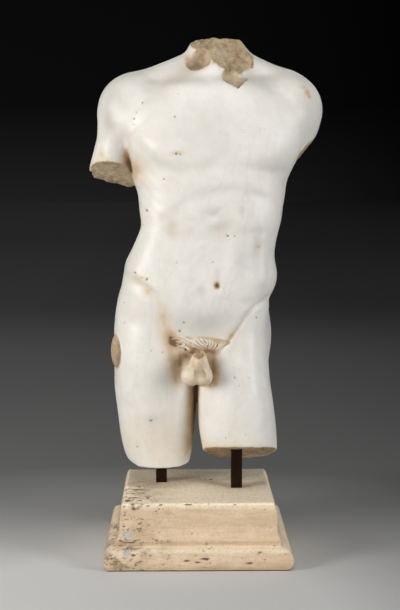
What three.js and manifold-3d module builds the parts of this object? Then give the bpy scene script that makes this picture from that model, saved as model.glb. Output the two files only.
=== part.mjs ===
// A broken marble torso of a standing athlete, held by two square bars on a moulded travertine plinth.
// Millimetres. Z is up, the figure faces -Y, and +X is the figure's left. The origin is the centre of the
// plinth's underside.
import * as THREE from "three";
import { mergeVertices } from "three/addons/utils/BufferGeometryUtils.js";
import Module from "manifold-3d";

// ---------------------------------------------------------------- driving dimensions

const BAR_SIDE = 20; // square bar stock
const BAR_IN_PLINTH = 40; // how deep each bar is let into the plinth
const BAR_IN_THIGH = 60; // how far each bar runs up inside its thigh
const CLEARANCE = 0.3; // between a bar and the socket that holds it
const RIGHT_BAR = { x: -65, y: 32 }; // under the figure's right thigh
const LEFT_BAR = { x: 69, y: -11 }; // under the figure's left thigh

const PLINTH_HEIGHT = 110.5;
const PLINTH_HALF_WIDTH = 160.5; // at the fullest point of the base moulding
const DIE_HALF_WIDTH = 134; // the upright upper block
const TOP_HALF_WIDTH = 127; // the flat top, inside its rounded edge
const TOP_EDGE_DROP = 17; // height of the rounded top edge
const DIE_FOOT = 64; // where the upright block turns into the hollow
const HOLLOW_FOOT = 48;
const HOLLOW_HALF_WIDTH = 142.5;
const FILLET_HALF_WIDTH = 139;
const TORUS_TOP = 38;
const TORUS_BOTTOM = 1.5;
const FOOT_HALF_WIDTH = 153.5;

const RIGHT_THIGH_BREAK = 150.5; // height of the figure's right thigh break
const LEFT_THIGH_BREAK = 173; // height of the left one at the thigh's middle
const LEFT_BREAK_SLOPE = 0.36; // that break falls towards the back
const LEFT_BREAK_CURVE = 0.0011; // and bellies a little
const NECK_TOP = 903;

const CELL = 15; // size of the facets of the carved surface
const LEG_GAP_CELL = 8; // and across the narrow gap between the thighs
const LEG_GAP_REACH = 24;

// Outlines of the trunk and thighs by height: [height, distance]. Right and left are the figure's own.
const TRUNK = {
  squareness: 2.4,
  right: [[330, -10], [350, -40], [375, -72], [400, -104], [430, -128], [461, -133], [489, -125], [517, -121],
    [546, -108], [574, -98], [602, -101], [630, -104], [658, -112], [700, -113], [740, -110], [780, -98],
    [810, -76], [835, -45], [860, -22]],
  left: [[330, 28], [350, 50], [375, 80], [400, 104], [430, 120], [446, 123], [460, 130], [489, 134],
    [531, 134], [559, 139], [588, 146], [644, 152], [672, 158], [700, 160], [740, 158], [780, 148],
    [810, 126], [835, 98], [860, 82]],
  front: [[330, -55], [370, -78], [400, -83], [440, -86], [480, -88], [530, -84], [580, -84], [630, -88],
    [680, -89], [720, -89], [760, -82], [800, -64], [830, -42], [860, -28]],
  back: [[330, 40], [370, 70], [400, 84], [440, 86], [480, 80], [530, 68], [580, 68], [630, 78], [680, 90],
    [720, 97], [760, 97], [800, 86], [830, 74], [860, 66]],
};
const RIGHT_THIGH = {
  squareness: 2.15,
  right: [[130, -112], [150, -122], [169, -131], [200, -138], [242, -143], [286, -149], [330, -152],
    [370, -150], [404, -147], [432, -143], [461, -132], [490, -112]],
  left: [[130, -18], [150, -14], [170, -10], [200, -6], [240, -3], [300, -2], [340, 0], [380, 10], [420, 0],
    [460, -30], [490, -60]],
  front: [[130, -40], [200, -46], [260, -54], [320, -62], [360, -66], [400, -66], [440, -56], [490, -30]],
  back: [[130, 102], [200, 110], [260, 114], [320, 112], [360, 106], [400, 96], [440, 80], [490, 50]],
};
const LEFT_THIGH = {
  squareness: 2.15,
  right: [[120, 18], [140, 16], [161, 13], [190, 7], [220, 2], [260, 0], [300, 0], [340, 0], [380, 10],
    [420, 20], [460, 50], [490, 70]],
  left: [[120, 141], [175, 141], [219, 139], [262, 134], [305, 128], [362, 124], [391, 122], [417, 123],
    [440, 121], [460, 112], [490, 95]],
  front: [[120, -78], [200, -80], [260, -80], [320, -76], [360, -72], [400, -68], [440, -58], [490, -35]],
  back: [[120, 60], [200, 68], [260, 76], [320, 86], [360, 90], [400, 86], [440, 75], [490, 50]],
};

// Chiselled furrows, as [x, z] points seen from the front or the back, with a half width and a depth.
const FURROWS = [
  { name: "right breast fold", side: "front", width: 12, depth: 3.5,
    points: [[-102, 704], [-83, 694], [-62, 677], [-37, 669], [-2, 670], [33, 681]] },
  { name: "left breast fold", side: "front", width: 12, depth: 3.5,
    points: [[68, 682], [99, 672], [129, 670], [153, 684]] },
  { name: "breastbone", side: "front", width: 14, depth: 4,
    points: [[30, 800], [35, 765], [40, 730], [46, 684]] },
  { name: "rib arch", side: "front", width: 14, depth: 4,
    points: [[-54, 555], [-46, 578], [-37, 595], [-19, 615], [10, 630], [38, 638], [70, 634], [98, 626],
      [118, 612], [132, 590]] },
  { name: "belly midline", side: "front", width: 12, depth: 3,
    points: [[42, 638], [45, 605], [40, 563], [33, 517], [32, 488]] },
  { name: "belly crease", side: "front", width: 12, depth: 2,
    points: [[-34, 561], [3, 558], [40, 561], [78, 561]] },
  { name: "navel", side: "front", width: 11, depth: 5, points: [[32, 478], [32, 474]] },
  { name: "right groin", side: "front", width: 11, depth: 8,
    points: [[-130, 500], [-119, 494], [-104, 478], [-92, 467], [-77, 456], [-69, 444], [-61, 420], [-53, 400],
      [-44, 380], [-36, 362]] },
  { name: "left groin", side: "front", width: 11, depth: 8,
    points: [[130, 468], [119, 456], [97, 441], [85, 427], [79, 410], [65, 392], [53, 379], [42, 360]] },
  { name: "right collarbone", side: "front", width: 9, depth: 3,
    points: [[-75, 822], [-36, 820], [-1, 821], [20, 817]] },
  { name: "left collarbone", side: "front", width: 9, depth: 3,
    points: [[46, 819], [74, 824], [104, 827], [130, 831]] },
  { name: "spine", side: "back", width: 17, depth: 10,
    points: [[36, 810], [30, 740], [26, 670], [28, 600], [24, 530], [12, 470], [6, 440]] },
  { name: "gluteal cleft", side: "back", width: 13, depth: 18,
    points: [[6, 440], [2, 400], [0, 350], [0, 315]] },
];

// ---------------------------------------------------------------- soft solids as fields
// A field is negative inside the marble, positive outside, and roughly a distance in between.

const clamp = (v, low, high) => Math.min(high, Math.max(low, v));

// A smooth curve through [position, value] pairs.
function along(pairs, position) {
  const last = pairs.length - 1;
  const at = clamp(position, pairs[0][0], pairs[last][0]);
  let i = 0;
  while (i < last - 1 && pairs[i + 1][0] < at) i++;
  const slope = (k) => {
    const a = pairs[Math.max(0, k - 1)], b = pairs[Math.min(last, k + 1)];
    return (b[1] - a[1]) / (b[0] - a[0]);
  };
  const span = pairs[i + 1][0] - pairs[i][0];
  const t = (at - pairs[i][0]) / span;
  const t2 = t * t, t3 = t2 * t;
  return (2 * t3 - 3 * t2 + 1) * pairs[i][1] + (t3 - 2 * t2 + t) * span * slope(i)
    + (3 * t2 - 2 * t3) * pairs[i + 1][1] + (t3 - t2) * span * slope(i + 1);
}

function blend(a, b, radius) {
  const h = clamp(0.5 + (0.5 * (b - a)) / radius, 0, 1);
  return b * (1 - h) + a * h - radius * h * (1 - h);
}
const cut = (a, b, radius) => -blend(-a, -b, radius);

// A stack of rounded sections that follows four outlines.
function lofted([x, y, z], outline) {
  const right = along(outline.right, z), left = along(outline.left, z);
  const front = along(outline.front, z), back = along(outline.back, z);
  const middleX = (right + left) / 2, middleY = (front + back) / 2;
  const halfX = (left - right) / 2, halfY = (back - front) / 2;
  const u = Math.abs(x - middleX) / halfX, v = Math.abs(y - middleY) / halfY;
  const n = outline.squareness;
  const ring = (u ** n + v ** n + 1e-12) ** (1 / n);
  const steepness = Math.hypot(u / halfX, v / halfY) / (Math.hypot(u, v) + 1e-9);
  return (ring - 1) / Math.max(steepness, 1e-3);
}

function ellipsoid([x, y, z], [cx, cy, cz], [rx, ry, rz]) {
  const near = Math.hypot((x - cx) / rx, (y - cy) / ry, (z - cz) / rz);
  const steep = Math.hypot((x - cx) / (rx * rx), (y - cy) / (ry * ry), (z - cz) / (rz * rz));
  return (near * (near - 1)) / (steep + 1e-9);
}

function roundBar([x, y, z], a, b, radiusA, radiusB) {
  const d = [b[0] - a[0], b[1] - a[1], b[2] - a[2]];
  const q = [x - a[0], y - a[1], z - a[2]];
  const t = clamp((q[0] * d[0] + q[1] * d[1] + q[2] * d[2]) / (d[0] ** 2 + d[1] ** 2 + d[2] ** 2), 0, 1);
  return Math.hypot(q[0] - t * d[0], q[1] - t * d[1], q[2] - t * d[2]) - (radiusA + (radiusB - radiusA) * t);
}

// Height over a plane through a point, along its normal.
function over([x, y, z], [px, py, pz], [nx, ny, nz]) {
  return ((x - px) * nx + (y - py) * ny + (z - pz) * nz) / Math.hypot(nx, ny, nz);
}

function distanceToLine(x, z, points) {
  let nearest = Infinity;
  for (let i = 0; i + 1 < points.length; i++) {
    const [ax, az] = points[i];
    const dx = points[i + 1][0] - ax, dz = points[i + 1][1] - az;
    const t = clamp(((x - ax) * dx + (z - az) * dz) / (dx * dx + dz * dz), 0, 1);
    nearest = Math.min(nearest, Math.hypot(x - ax - t * dx, z - az - t * dz));
  }
  return nearest;
}

// ---------------------------------------------------------------- the carved figure

// Each break is a plane. The arm and thigh normals point into the marble that is left, the neck's away from it.
const RIGHT_ARM_BREAK = { point: [-122, -28, 683], normal: [0.16, 0.45, 0.88] };
const LEFT_ARM_BREAK = { point: [182, -2, 704], normal: [-0.72, 0.17, 0.68] };
const NECK_BREAK = { point: [56, -48, 820], normal: [0.3, -0.66, 0.7] };
const NECK_AXIS = { x: 36, y: 10, reach: 56 };

function trunkAndLegs(p) {
  let trunk = lofted(p, TRUNK);
  trunk = cut(trunk, 338 - p[2], 20);
  trunk = cut(trunk, p[2] - 850, 14);
  const rightThigh = cut(lofted(p, RIGHT_THIGH), p[2] - 470, 24);
  const leftThigh = cut(lofted(p, LEFT_THIGH), p[2] - 470, 24);
  let body = blend(trunk, blend(rightThigh, leftThigh, 6), 18);
  const buttocks = blend(ellipsoid(p, [-68, 54, 392], [72, 66, 80]), ellipsoid(p, [68, 48, 380], [64, 64, 78]), 8);
  body = blend(body, buttocks, 24);
  const flanks = Math.min(ellipsoid(p, [100, 0, 487], [36, 62, 32]), ellipsoid(p, [-92, 0, 486], [36, 62, 38]));
  return blend(body, flanks, 16);
}

function shouldersAndNeck(p) {
  const girdle = blend(roundBar(p, [10, 22, 826], [-122, 8, 788], 34, 34),
    roundBar(p, [66, 22, 826], [168, 8, 786], 34, 34), 10);
  const trapezius = blend(roundBar(p, [30, 30, 868], [-60, 26, 828], 26, 26),
    roundBar(p, [46, 30, 868], [136, 26, 826], 26, 26), 10);
  return blend(blend(girdle, trapezius, 28), ellipsoid(p, [38, 22, 850], [47, 50, 110]), 16);
}

function chestMuscles(p) {
  return Math.min(ellipsoid(p, [-36, -38, 728], [84, 58, 66]), ellipsoid(p, [108, -38, 731], [68, 58, 66]));
}

function shoulderBlades(p) {
  return Math.min(ellipsoid(p, [-48, 62, 756], [54, 39, 62]), ellipsoid(p, [110, 62, 756], [50, 39, 62]));
}

function arms(p) {
  const right = blend(ellipsoid(p, [-121, 4, 764], [53, 50, 61]),
    roundBar(p, [-134, 8, 750], [-153, 16, 625], 43, 37), 18);
  const left = blend(ellipsoid(p, [160, 4, 768], [54, 50, 62]),
    roundBar(p, [160, 8, 750], [147, 18, 640], 44, 34), 18);
  return Math.min(right, left);
}

function genitals(p) {
  const sac = blend(ellipsoid(p, [-12, -88, 330], [16, 22, 26]), ellipsoid(p, [9, -88, 327], [16, 22, 26]), 5);
  return blend(sac, roundBar(p, [2, -84, 366], [1, -102, 334], 12, 9), 5);
}

function furrows([x, y, z]) {
  let depth = 0;
  for (const f of FURROWS) {
    const facing = f.side === "front" ? -y : y;
    const away = distanceToLine(x, z, f.points) / f.width;
    if (facing > -20 && away < 3) depth += f.depth * Math.exp(-away * away) * clamp((facing + 20) / 40, 0, 1);
  }
  return depth;
}

const strutStump = (p) => ellipsoid(p, [-139, -14, 356], [13.5, 26, 32]);

function armless(p) {
  let body = blend(trunkAndLegs(p), shouldersAndNeck(p), 26);
  body = blend(body, chestMuscles(p), 16);
  body = blend(body, shoulderBlades(p), 24) + furrows(p);
  body = blend(body, genitals(p), 5);
  return blend(body, strutStump(p), 3);
}

function unbroken(p) {
  const armpitToShoulder = clamp((p[2] - 690) / 60, 0, 1);
  return blend(armless(p), arms(p), 5 + 15 * armpitToShoulder);
}

// Positive in the marble that is lost.
function breaks(p) {
  const [x, y, z] = p;
  if (z < 400) {
    return x < 2 ? RIGHT_THIGH_BREAK - z
      : LEFT_THIGH_BREAK - LEFT_BREAK_SLOPE * y - LEFT_BREAK_CURVE * (y + 8) ** 2 - z;
  }
  if (z > 780 && Math.abs(x - NECK_AXIS.x) < NECK_AXIS.reach) {
    const slanted = over(p, NECK_BREAK.point, NECK_BREAK.normal);
    const neckColumn = NECK_AXIS.reach - Math.hypot(x - NECK_AXIS.x, y - NECK_AXIS.y);
    return Math.max(Math.min(slanted, neckColumn), z - NECK_TOP);
  }
  const armBreak = x < 0 ? RIGHT_ARM_BREAK : LEFT_ARM_BREAK;
  return Math.min(-over(p, armBreak.point, armBreak.normal), armless(p) - 2);
}

const marble = (p) => Math.max(unbroken(p), breaks(p));

// ---------------------------------------------------------------- field to faceted solid

const range = (from, to, step) => {
  const count = Math.round((to - from) / step);
  return Array.from({ length: count + 1 }, (_, i) => from + ((to - from) * i) / count);
};

function slopeOf(field, p) {
  const e = 0.5;
  return [0, 1, 2].map((k) => {
    const a = [...p], b = [...p];
    a[k] += e;
    b[k] -= e;
    return (field(a) - field(b)) / (2 * e);
  });
}

function ontoSurface(field, p, limit = CELL / 2) {
  const f = field(p), g = slopeOf(field, p);
  const step = clamp(f / Math.max(g[0] ** 2 + g[1] ** 2 + g[2] ** 2, 0.2), -limit, limit);
  return p.map((v, k) => v - g[k] * step);
}

const CORNERS = [0, 1, 2, 3, 4, 5, 6, 7].map((i) => [i & 1, (i >> 1) & 1, i >> 2]);
const CELL_EDGES = [];
for (let a = 0; a < 8; a++) for (const bit of [1, 2, 4]) if (!(a & bit)) CELL_EDGES.push([a, a | bit]);

// True when the surface passes through a cell as one sheet.
function oneSheet(code) {
  const pieces = (wanted) => {
    const left = new Set(CORNERS.keys().filter((i) => ((code >> i) & 1) === wanted));
    let count = 0;
    while (left.size) {
      count++;
      const todo = [left.values().next().value];
      left.delete(todo[0]);
      while (todo.length) {
        const a = todo.pop();
        for (const bit of [1, 2, 4]) if (left.delete(a ^ bit)) todo.push(a ^ bit);
      }
    }
    return count;
  };
  if (pieces(1) > 1 || pieces(0) > 1) return false;
  for (const [u, v] of [[1, 2], [1, 4], [2, 4]]) {
    for (const base of [0, 7 - u - v]) {
      const [a, b, c, d] = [base, base | u, base | u | v, base | v].map((i) => (code >> i) & 1);
      if (a === c && b === d && a !== b) return false;
    }
  }
  return true;
}

// Surface nets: one vertex for each cell that the surface crosses, one quad for each grid edge that it crosses.
function surfaceNet(field, xs, ys, zs) {
  const size = [xs.length, ys.length, zs.length];
  const stride = [1, size[0], size[0] * size[1]];
  const value = new Float64Array(size[0] * size[1] * size[2]);
  let n = 0;
  for (const z of zs) for (const y of ys) for (const x of xs) value[n++] = field([x, y, z]);
  const corner = CORNERS.map((c) => c[0] * stride[0] + c[1] * stride[1] + c[2] * stride[2]);
  const single = Array.from({ length: 256 }, (_, code) => oneSheet(code));
  const codeAt = (at) => corner.reduce((code, offset, i) => code | (value[at + offset] < 0 ? 1 << i : 0), 0);
  const cells = [];
  for (let k = 0; k + 1 < size[2]; k++)
    for (let j = 0; j + 1 < size[1]; j++)
      for (let i = 0; i + 1 < size[0]; i++) cells.push(i + j * stride[1] + k * stride[2]);

  // A cell crossed twice is filled at its least empty corner until one sheet is left.
  for (let changed = true; changed; ) {
    changed = false;
    for (const at of cells) {
      if (single[codeAt(at)]) continue;
      const empty = corner.map((offset) => at + offset).filter((c) => value[c] >= 0);
      value[empty.reduce((a, b) => (value[a] <= value[b] ? a : b))] = -1e-3;
      changed = true;
    }
  }

  const vertices = [], vertexOf = new Map();
  for (const at of cells) {
    const code = codeAt(at);
    if (code === 0 || code === 255) continue;
    const i = at % size[0], j = Math.floor(at / stride[1]) % size[1], k = Math.floor(at / stride[2]);
    const sum = [0, 0, 0];
    let crossings = 0;
    for (const [a, b] of CELL_EDGES) {
      const fa = value[at + corner[a]], fb = value[at + corner[b]];
      if (fa < 0 === fb < 0) continue;
      const t = fa / (fa - fb);
      for (let axis = 0; axis < 3; axis++) sum[axis] += CORNERS[a][axis] + (CORNERS[b][axis] - CORNERS[a][axis]) * t;
      crossings++;
    }
    const at3 = [[xs, i], [ys, j], [zs, k]];
    vertexOf.set(at, vertices.length);
    vertices.push(at3.map(([grid, g], axis) => grid[g] + (grid[g + 1] - grid[g]) * (sum[axis] / crossings)));
  }

  const quads = [];
  for (let axis = 0; axis < 3; axis++) {
    const u = stride[(axis + 1) % 3], v = stride[(axis + 2) % 3];
    for (const at of cells) {
      const insideHere = value[at] < 0, insideNext = value[at + stride[axis]] < 0;
      if (insideHere === insideNext) continue;
      const ring = [at - u - v, at - v, at, at - u].map((c) => vertexOf.get(c));
      quads.push(insideHere ? ring : ring.reverse());
    }
  }
  return { vertices, quads };
}

// Evens out the facets: each vertex drifts to the middle of its neighbours and back onto the surface.
function relax(net, field, isFixed, rounds) {
  const neighbours = net.vertices.map(() => new Set());
  for (const q of net.quads)
    q.forEach((a, i) => {
      neighbours[a].add(q[(i + 1) % 4]);
      neighbours[a].add(q[(i + 3) % 4]);
    });
  for (let round = 0; round < rounds; round++) {
    net.vertices = net.vertices.map((p, i) => {
      if (isFixed(p)) return ontoSurface(field, p);
      const middle = [0, 0, 0];
      for (const other of neighbours[i]) net.vertices[other].forEach((v, k) => (middle[k] += v));
      return ontoSurface(field, p.map((v, k) => 0.5 * v + (0.5 * middle[k]) / neighbours[i].size));
    });
  }
}

// Where an edge runs from the skin to a break, its nearer end is drawn onto the rim, so that the rim is crisp.
function sharpenRims(net, skin, broken) {
  const rim = net.vertices.map((p) => {
    let q = p;
    for (let i = 0; i < 8; i++) q = ontoSurface(broken, ontoSurface(skin, q));
    return { q, away: Math.hypot(...q.map((v, k) => v - p[k])) };
  });
  const onBreak = net.vertices.map((p) => Math.abs(broken(p)) < Math.abs(skin(p)));
  const chosen = new Set();
  for (const quad of net.quads) {
    quad.forEach((a, i) => {
      const b = quad[(i + 1) % 4];
      if (onBreak[a] === onBreak[b] || chosen.has(a) || chosen.has(b)) return;
      chosen.add(rim[a].away < rim[b].away ? a : b);
    });
  }
  for (const i of chosen) if (rim[i].away < CELL) net.vertices[i] = rim[i].q;
}

// Each quad is split along the diagonal that lies closer to the carved surface.
function geometryOf(net, field) {
  const triangles = [];
  const offSurface = (a, b) => Math.abs(field(net.vertices[a].map((v, k) => (v + net.vertices[b][k]) / 2)));
  for (const [a, b, c, d] of net.quads) {
    if (offSurface(a, c) <= offSurface(b, d)) triangles.push(a, b, c, a, c, d);
    else triangles.push(a, b, d, b, c, d);
  }
  return new THREE.BufferGeometry()
    .setAttribute("position", new THREE.Float32BufferAttribute(net.vertices.flat(), 3))
    .setIndex(triangles);
}

function torsoGeometry() {
  const xs = [...range(-200, -LEG_GAP_REACH, CELL), ...range(-LEG_GAP_REACH, LEG_GAP_REACH, LEG_GAP_CELL).slice(1),
    ...range(LEG_GAP_REACH, 236, CELL).slice(1)];
  const net = surfaceNet(marble, xs, range(-140, 160, CELL), range(124, 930, CELL));
  relax(net, marble, (p) => Math.abs(breaks(p)) < CELL * 0.7, 3);
  sharpenRims(net, unbroken, breaks);
  return geometryOf(net, marble);
}

// ---------------------------------------------------------------- solids, sockets and bars

const wasm = await Module();
wasm.setup();

function solidOf(geometry) {
  const bare = geometry.index ? geometry.clone() : geometry;
  bare.deleteAttribute("normal");
  bare.deleteAttribute("uv");
  const merged = mergeVertices(bare, 1e-3);
  return new wasm.Manifold(new wasm.Mesh({
    numProp: 3,
    vertProperties: merged.attributes.position.array,
    triVerts: new Uint32Array(merged.index.array),
  }));
}

function geometryFrom(solid) {
  const mesh = solid.getMesh();
  return new THREE.BufferGeometry()
    .setAttribute("position", new THREE.BufferAttribute(mesh.vertProperties, 3))
    .setIndex(new THREE.BufferAttribute(mesh.triVerts, 1));
}

function squarePrism(side, bottom, top, { x, y }) {
  return new THREE.BoxGeometry(side, side, top - bottom).translate(x, y, (top + bottom) / 2);
}

const BARS = [
  { name: "support_bar_right_leg", place: RIGHT_BAR, top: RIGHT_THIGH_BREAK + BAR_IN_THIGH },
  { name: "support_bar_left_leg", place: LEFT_BAR, top: LEFT_THIGH_BREAK + BAR_IN_THIGH },
];
const BAR_BOTTOM = PLINTH_HEIGHT - BAR_IN_PLINTH;

function withSockets(geometry) {
  let solid = solidOf(geometry);
  for (const { place, top } of BARS) {
    const socket = squarePrism(BAR_SIDE + 2 * CLEARANCE, BAR_BOTTOM - CLEARANCE, top + CLEARANCE, place);
    solid = solid.subtract(solidOf(socket));
  }
  return geometryFrom(solid);
}

// Points on a quarter or half round, from one angle to another.
function arc(centre, radiusX, radiusZ, from, to, steps) {
  return Array.from({ length: steps + 1 }, (_, i) => {
    const angle = THREE.MathUtils.degToRad(from + ((to - from) * i) / steps);
    return new THREE.Vector2(centre[0] + radiusX * Math.cos(angle), centre[1] + radiusZ * Math.sin(angle));
  });
}

// The moulding's section, from the middle of the underside out, up and back to the middle of the top.
function plinthProfile() {
  const torusMiddle = (TORUS_TOP + TORUS_BOTTOM) / 2;
  const torusHeight = (TORUS_TOP - TORUS_BOTTOM) / 2;
  const torusDepth = PLINTH_HALF_WIDTH - FILLET_HALF_WIDTH;
  return [
    new THREE.Vector2(0, 0),
    new THREE.Vector2(FOOT_HALF_WIDTH, 0),
    ...arc([FILLET_HALF_WIDTH, torusMiddle], torusDepth, torusHeight, -52, 78, 9),
    new THREE.Vector2(FILLET_HALF_WIDTH, TORUS_TOP),
    new THREE.Vector2(FILLET_HALF_WIDTH + 0.8, HOLLOW_FOOT - 5),
    new THREE.Vector2(HOLLOW_HALF_WIDTH, HOLLOW_FOOT),
    ...arc([HOLLOW_HALF_WIDTH, DIE_FOOT], HOLLOW_HALF_WIDTH - DIE_HALF_WIDTH, DIE_FOOT - HOLLOW_FOOT - 1, 270, 180, 5),
    ...arc([TOP_HALF_WIDTH, PLINTH_HEIGHT - TOP_EDGE_DROP], DIE_HALF_WIDTH - TOP_HALF_WIDTH, TOP_EDGE_DROP, 0, 90, 5),
    new THREE.Vector2(0, PLINTH_HEIGHT),
  ];
}

// A square moulding is a four-sided lathe whose radius reaches the corners.
function plinthGeometry() {
  const corners = plinthProfile().map((p) => new THREE.Vector2(p.x * Math.SQRT2, p.y));
  return new THREE.LatheGeometry(corners, 4, Math.PI / 4).rotateX(Math.PI / 2);
}

// ---------------------------------------------------------------- the sculpture

const materials = {
  marble: new THREE.MeshStandardMaterial({ color: 0xece5da, roughness: 0.38, metalness: 0 }),
  travertine: new THREE.MeshStandardMaterial({ color: 0xd2bb99, roughness: 0.7, metalness: 0 }),
  darkMetal: new THREE.MeshStandardMaterial({ color: 0x2a1c14, roughness: 0.4, metalness: 0.8 }),
};

function named(name, geometry, material) {
  const mesh = new THREE.Mesh(geometry, material);
  mesh.name = name;
  return mesh;
}

const sculpture = new THREE.Group();
sculpture.add(named("plinth", withSockets(plinthGeometry()), materials.travertine));
for (const { name, place, top } of BARS)
  sculpture.add(named(name, squarePrism(BAR_SIDE, BAR_BOTTOM, top, place), materials.darkMetal));
sculpture.add(named("torso", withSockets(torsoGeometry()), materials.marble));

export default sculpture;
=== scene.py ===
import itertools
import math

import bpy
import numpy as np
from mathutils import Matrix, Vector


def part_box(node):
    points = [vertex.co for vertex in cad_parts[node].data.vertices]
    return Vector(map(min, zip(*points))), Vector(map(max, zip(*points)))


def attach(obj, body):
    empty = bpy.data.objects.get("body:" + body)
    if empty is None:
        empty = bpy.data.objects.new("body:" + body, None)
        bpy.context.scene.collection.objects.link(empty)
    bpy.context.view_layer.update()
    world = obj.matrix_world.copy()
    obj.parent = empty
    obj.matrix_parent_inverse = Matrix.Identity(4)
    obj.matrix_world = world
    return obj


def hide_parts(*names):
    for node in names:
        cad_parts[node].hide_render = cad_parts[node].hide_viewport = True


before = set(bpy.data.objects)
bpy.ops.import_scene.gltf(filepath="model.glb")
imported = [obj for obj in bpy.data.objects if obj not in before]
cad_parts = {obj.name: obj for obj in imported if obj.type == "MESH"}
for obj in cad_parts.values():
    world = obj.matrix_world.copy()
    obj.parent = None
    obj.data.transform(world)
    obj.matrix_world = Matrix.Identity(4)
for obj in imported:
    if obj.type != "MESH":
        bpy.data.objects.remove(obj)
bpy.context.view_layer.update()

MM = 0.001  # the carving is worked out in millimetres and handed to Blender in metres


# ================================================================ the marble figure
# A field is negative inside the marble, positive outside, and roughly a distance in between. A set of points is
# an array with one row for each point. Right and left are the figure's own, and the figure faces -Y.

# Outlines of the trunk and thighs by height: (height, distance).
TRUNK = {
    "squareness": 2.75,
    "right": [(330, -10), (350, -40), (375, -72), (400, -104), (430, -128), (461, -133), (489, -125), (517, -121),
              (546, -108), (574, -98), (602, -101), (630, -104), (658, -112), (700, -113), (740, -110),
              (780, -98), (810, -76), (835, -45), (860, -22)],
    "left": [(330, 28), (350, 50), (375, 80), (400, 104), (430, 120), (446, 123), (460, 130), (489, 134),
             (531, 134), (559, 139), (588, 146), (644, 152), (672, 158), (700, 160), (740, 158), (780, 148),
             (810, 126), (835, 98), (860, 82)],
    "front": [(330, -52), (370, -72), (400, -78), (440, -85), (480, -88), (530, -83), (580, -83), (630, -86),
              (680, -87), (720, -88), (760, -83), (795, -73), (818, -61), (834, -44), (860, -28)],
    "back": [(330, 40), (370, 70), (400, 84), (440, 86), (480, 80), (530, 68), (580, 68), (630, 78), (680, 90),
             (720, 97), (760, 97), (800, 86), (830, 74), (860, 66)],
}
RIGHT_THIGH = {
    "squareness": 2.35,
    "right": [(130, -112), (150, -122), (169, -131), (200, -138), (242, -143), (286, -148), (330, -148),
              (370, -148), (404, -146.5), (432, -143), (461, -132), (490, -112)],
    "left": [(130, -18), (150, -14), (170, -10), (200, -6), (240, -3), (300, -2), (340, 0), (380, 10), (420, 0),
             (460, -30), (490, -60)],
    "front": [(130, -40), (200, -46), (260, -54), (320, -62), (360, -66), (400, -66), (440, -56), (490, -30)],
    "back": [(130, 102), (200, 110), (260, 114), (320, 112), (360, 106), (400, 96), (440, 80), (490, 50)],
}
LEFT_THIGH = {
    "squareness": 2.5,
    "right": [(120, 18), (140, 16), (161, 13), (190, 7), (220, 2), (260, 0), (300, 0), (340, 0), (380, 10),
              (420, 20), (460, 50), (490, 70)],
    "left": [(120, 141), (175, 141), (219, 139), (262, 134), (305, 128), (362, 124), (391, 122), (417, 123),
             (440, 121), (460, 112), (490, 95)],
    "front": [(120, -78), (200, -80), (260, -80), (320, -76), (360, -72), (400, -68), (440, -58), (490, -35)],
    "back": [(120, 60), (200, 68), (260, 76), (320, 86), (360, 90), (400, 86), (440, 75), (490, 50)],
}

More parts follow.
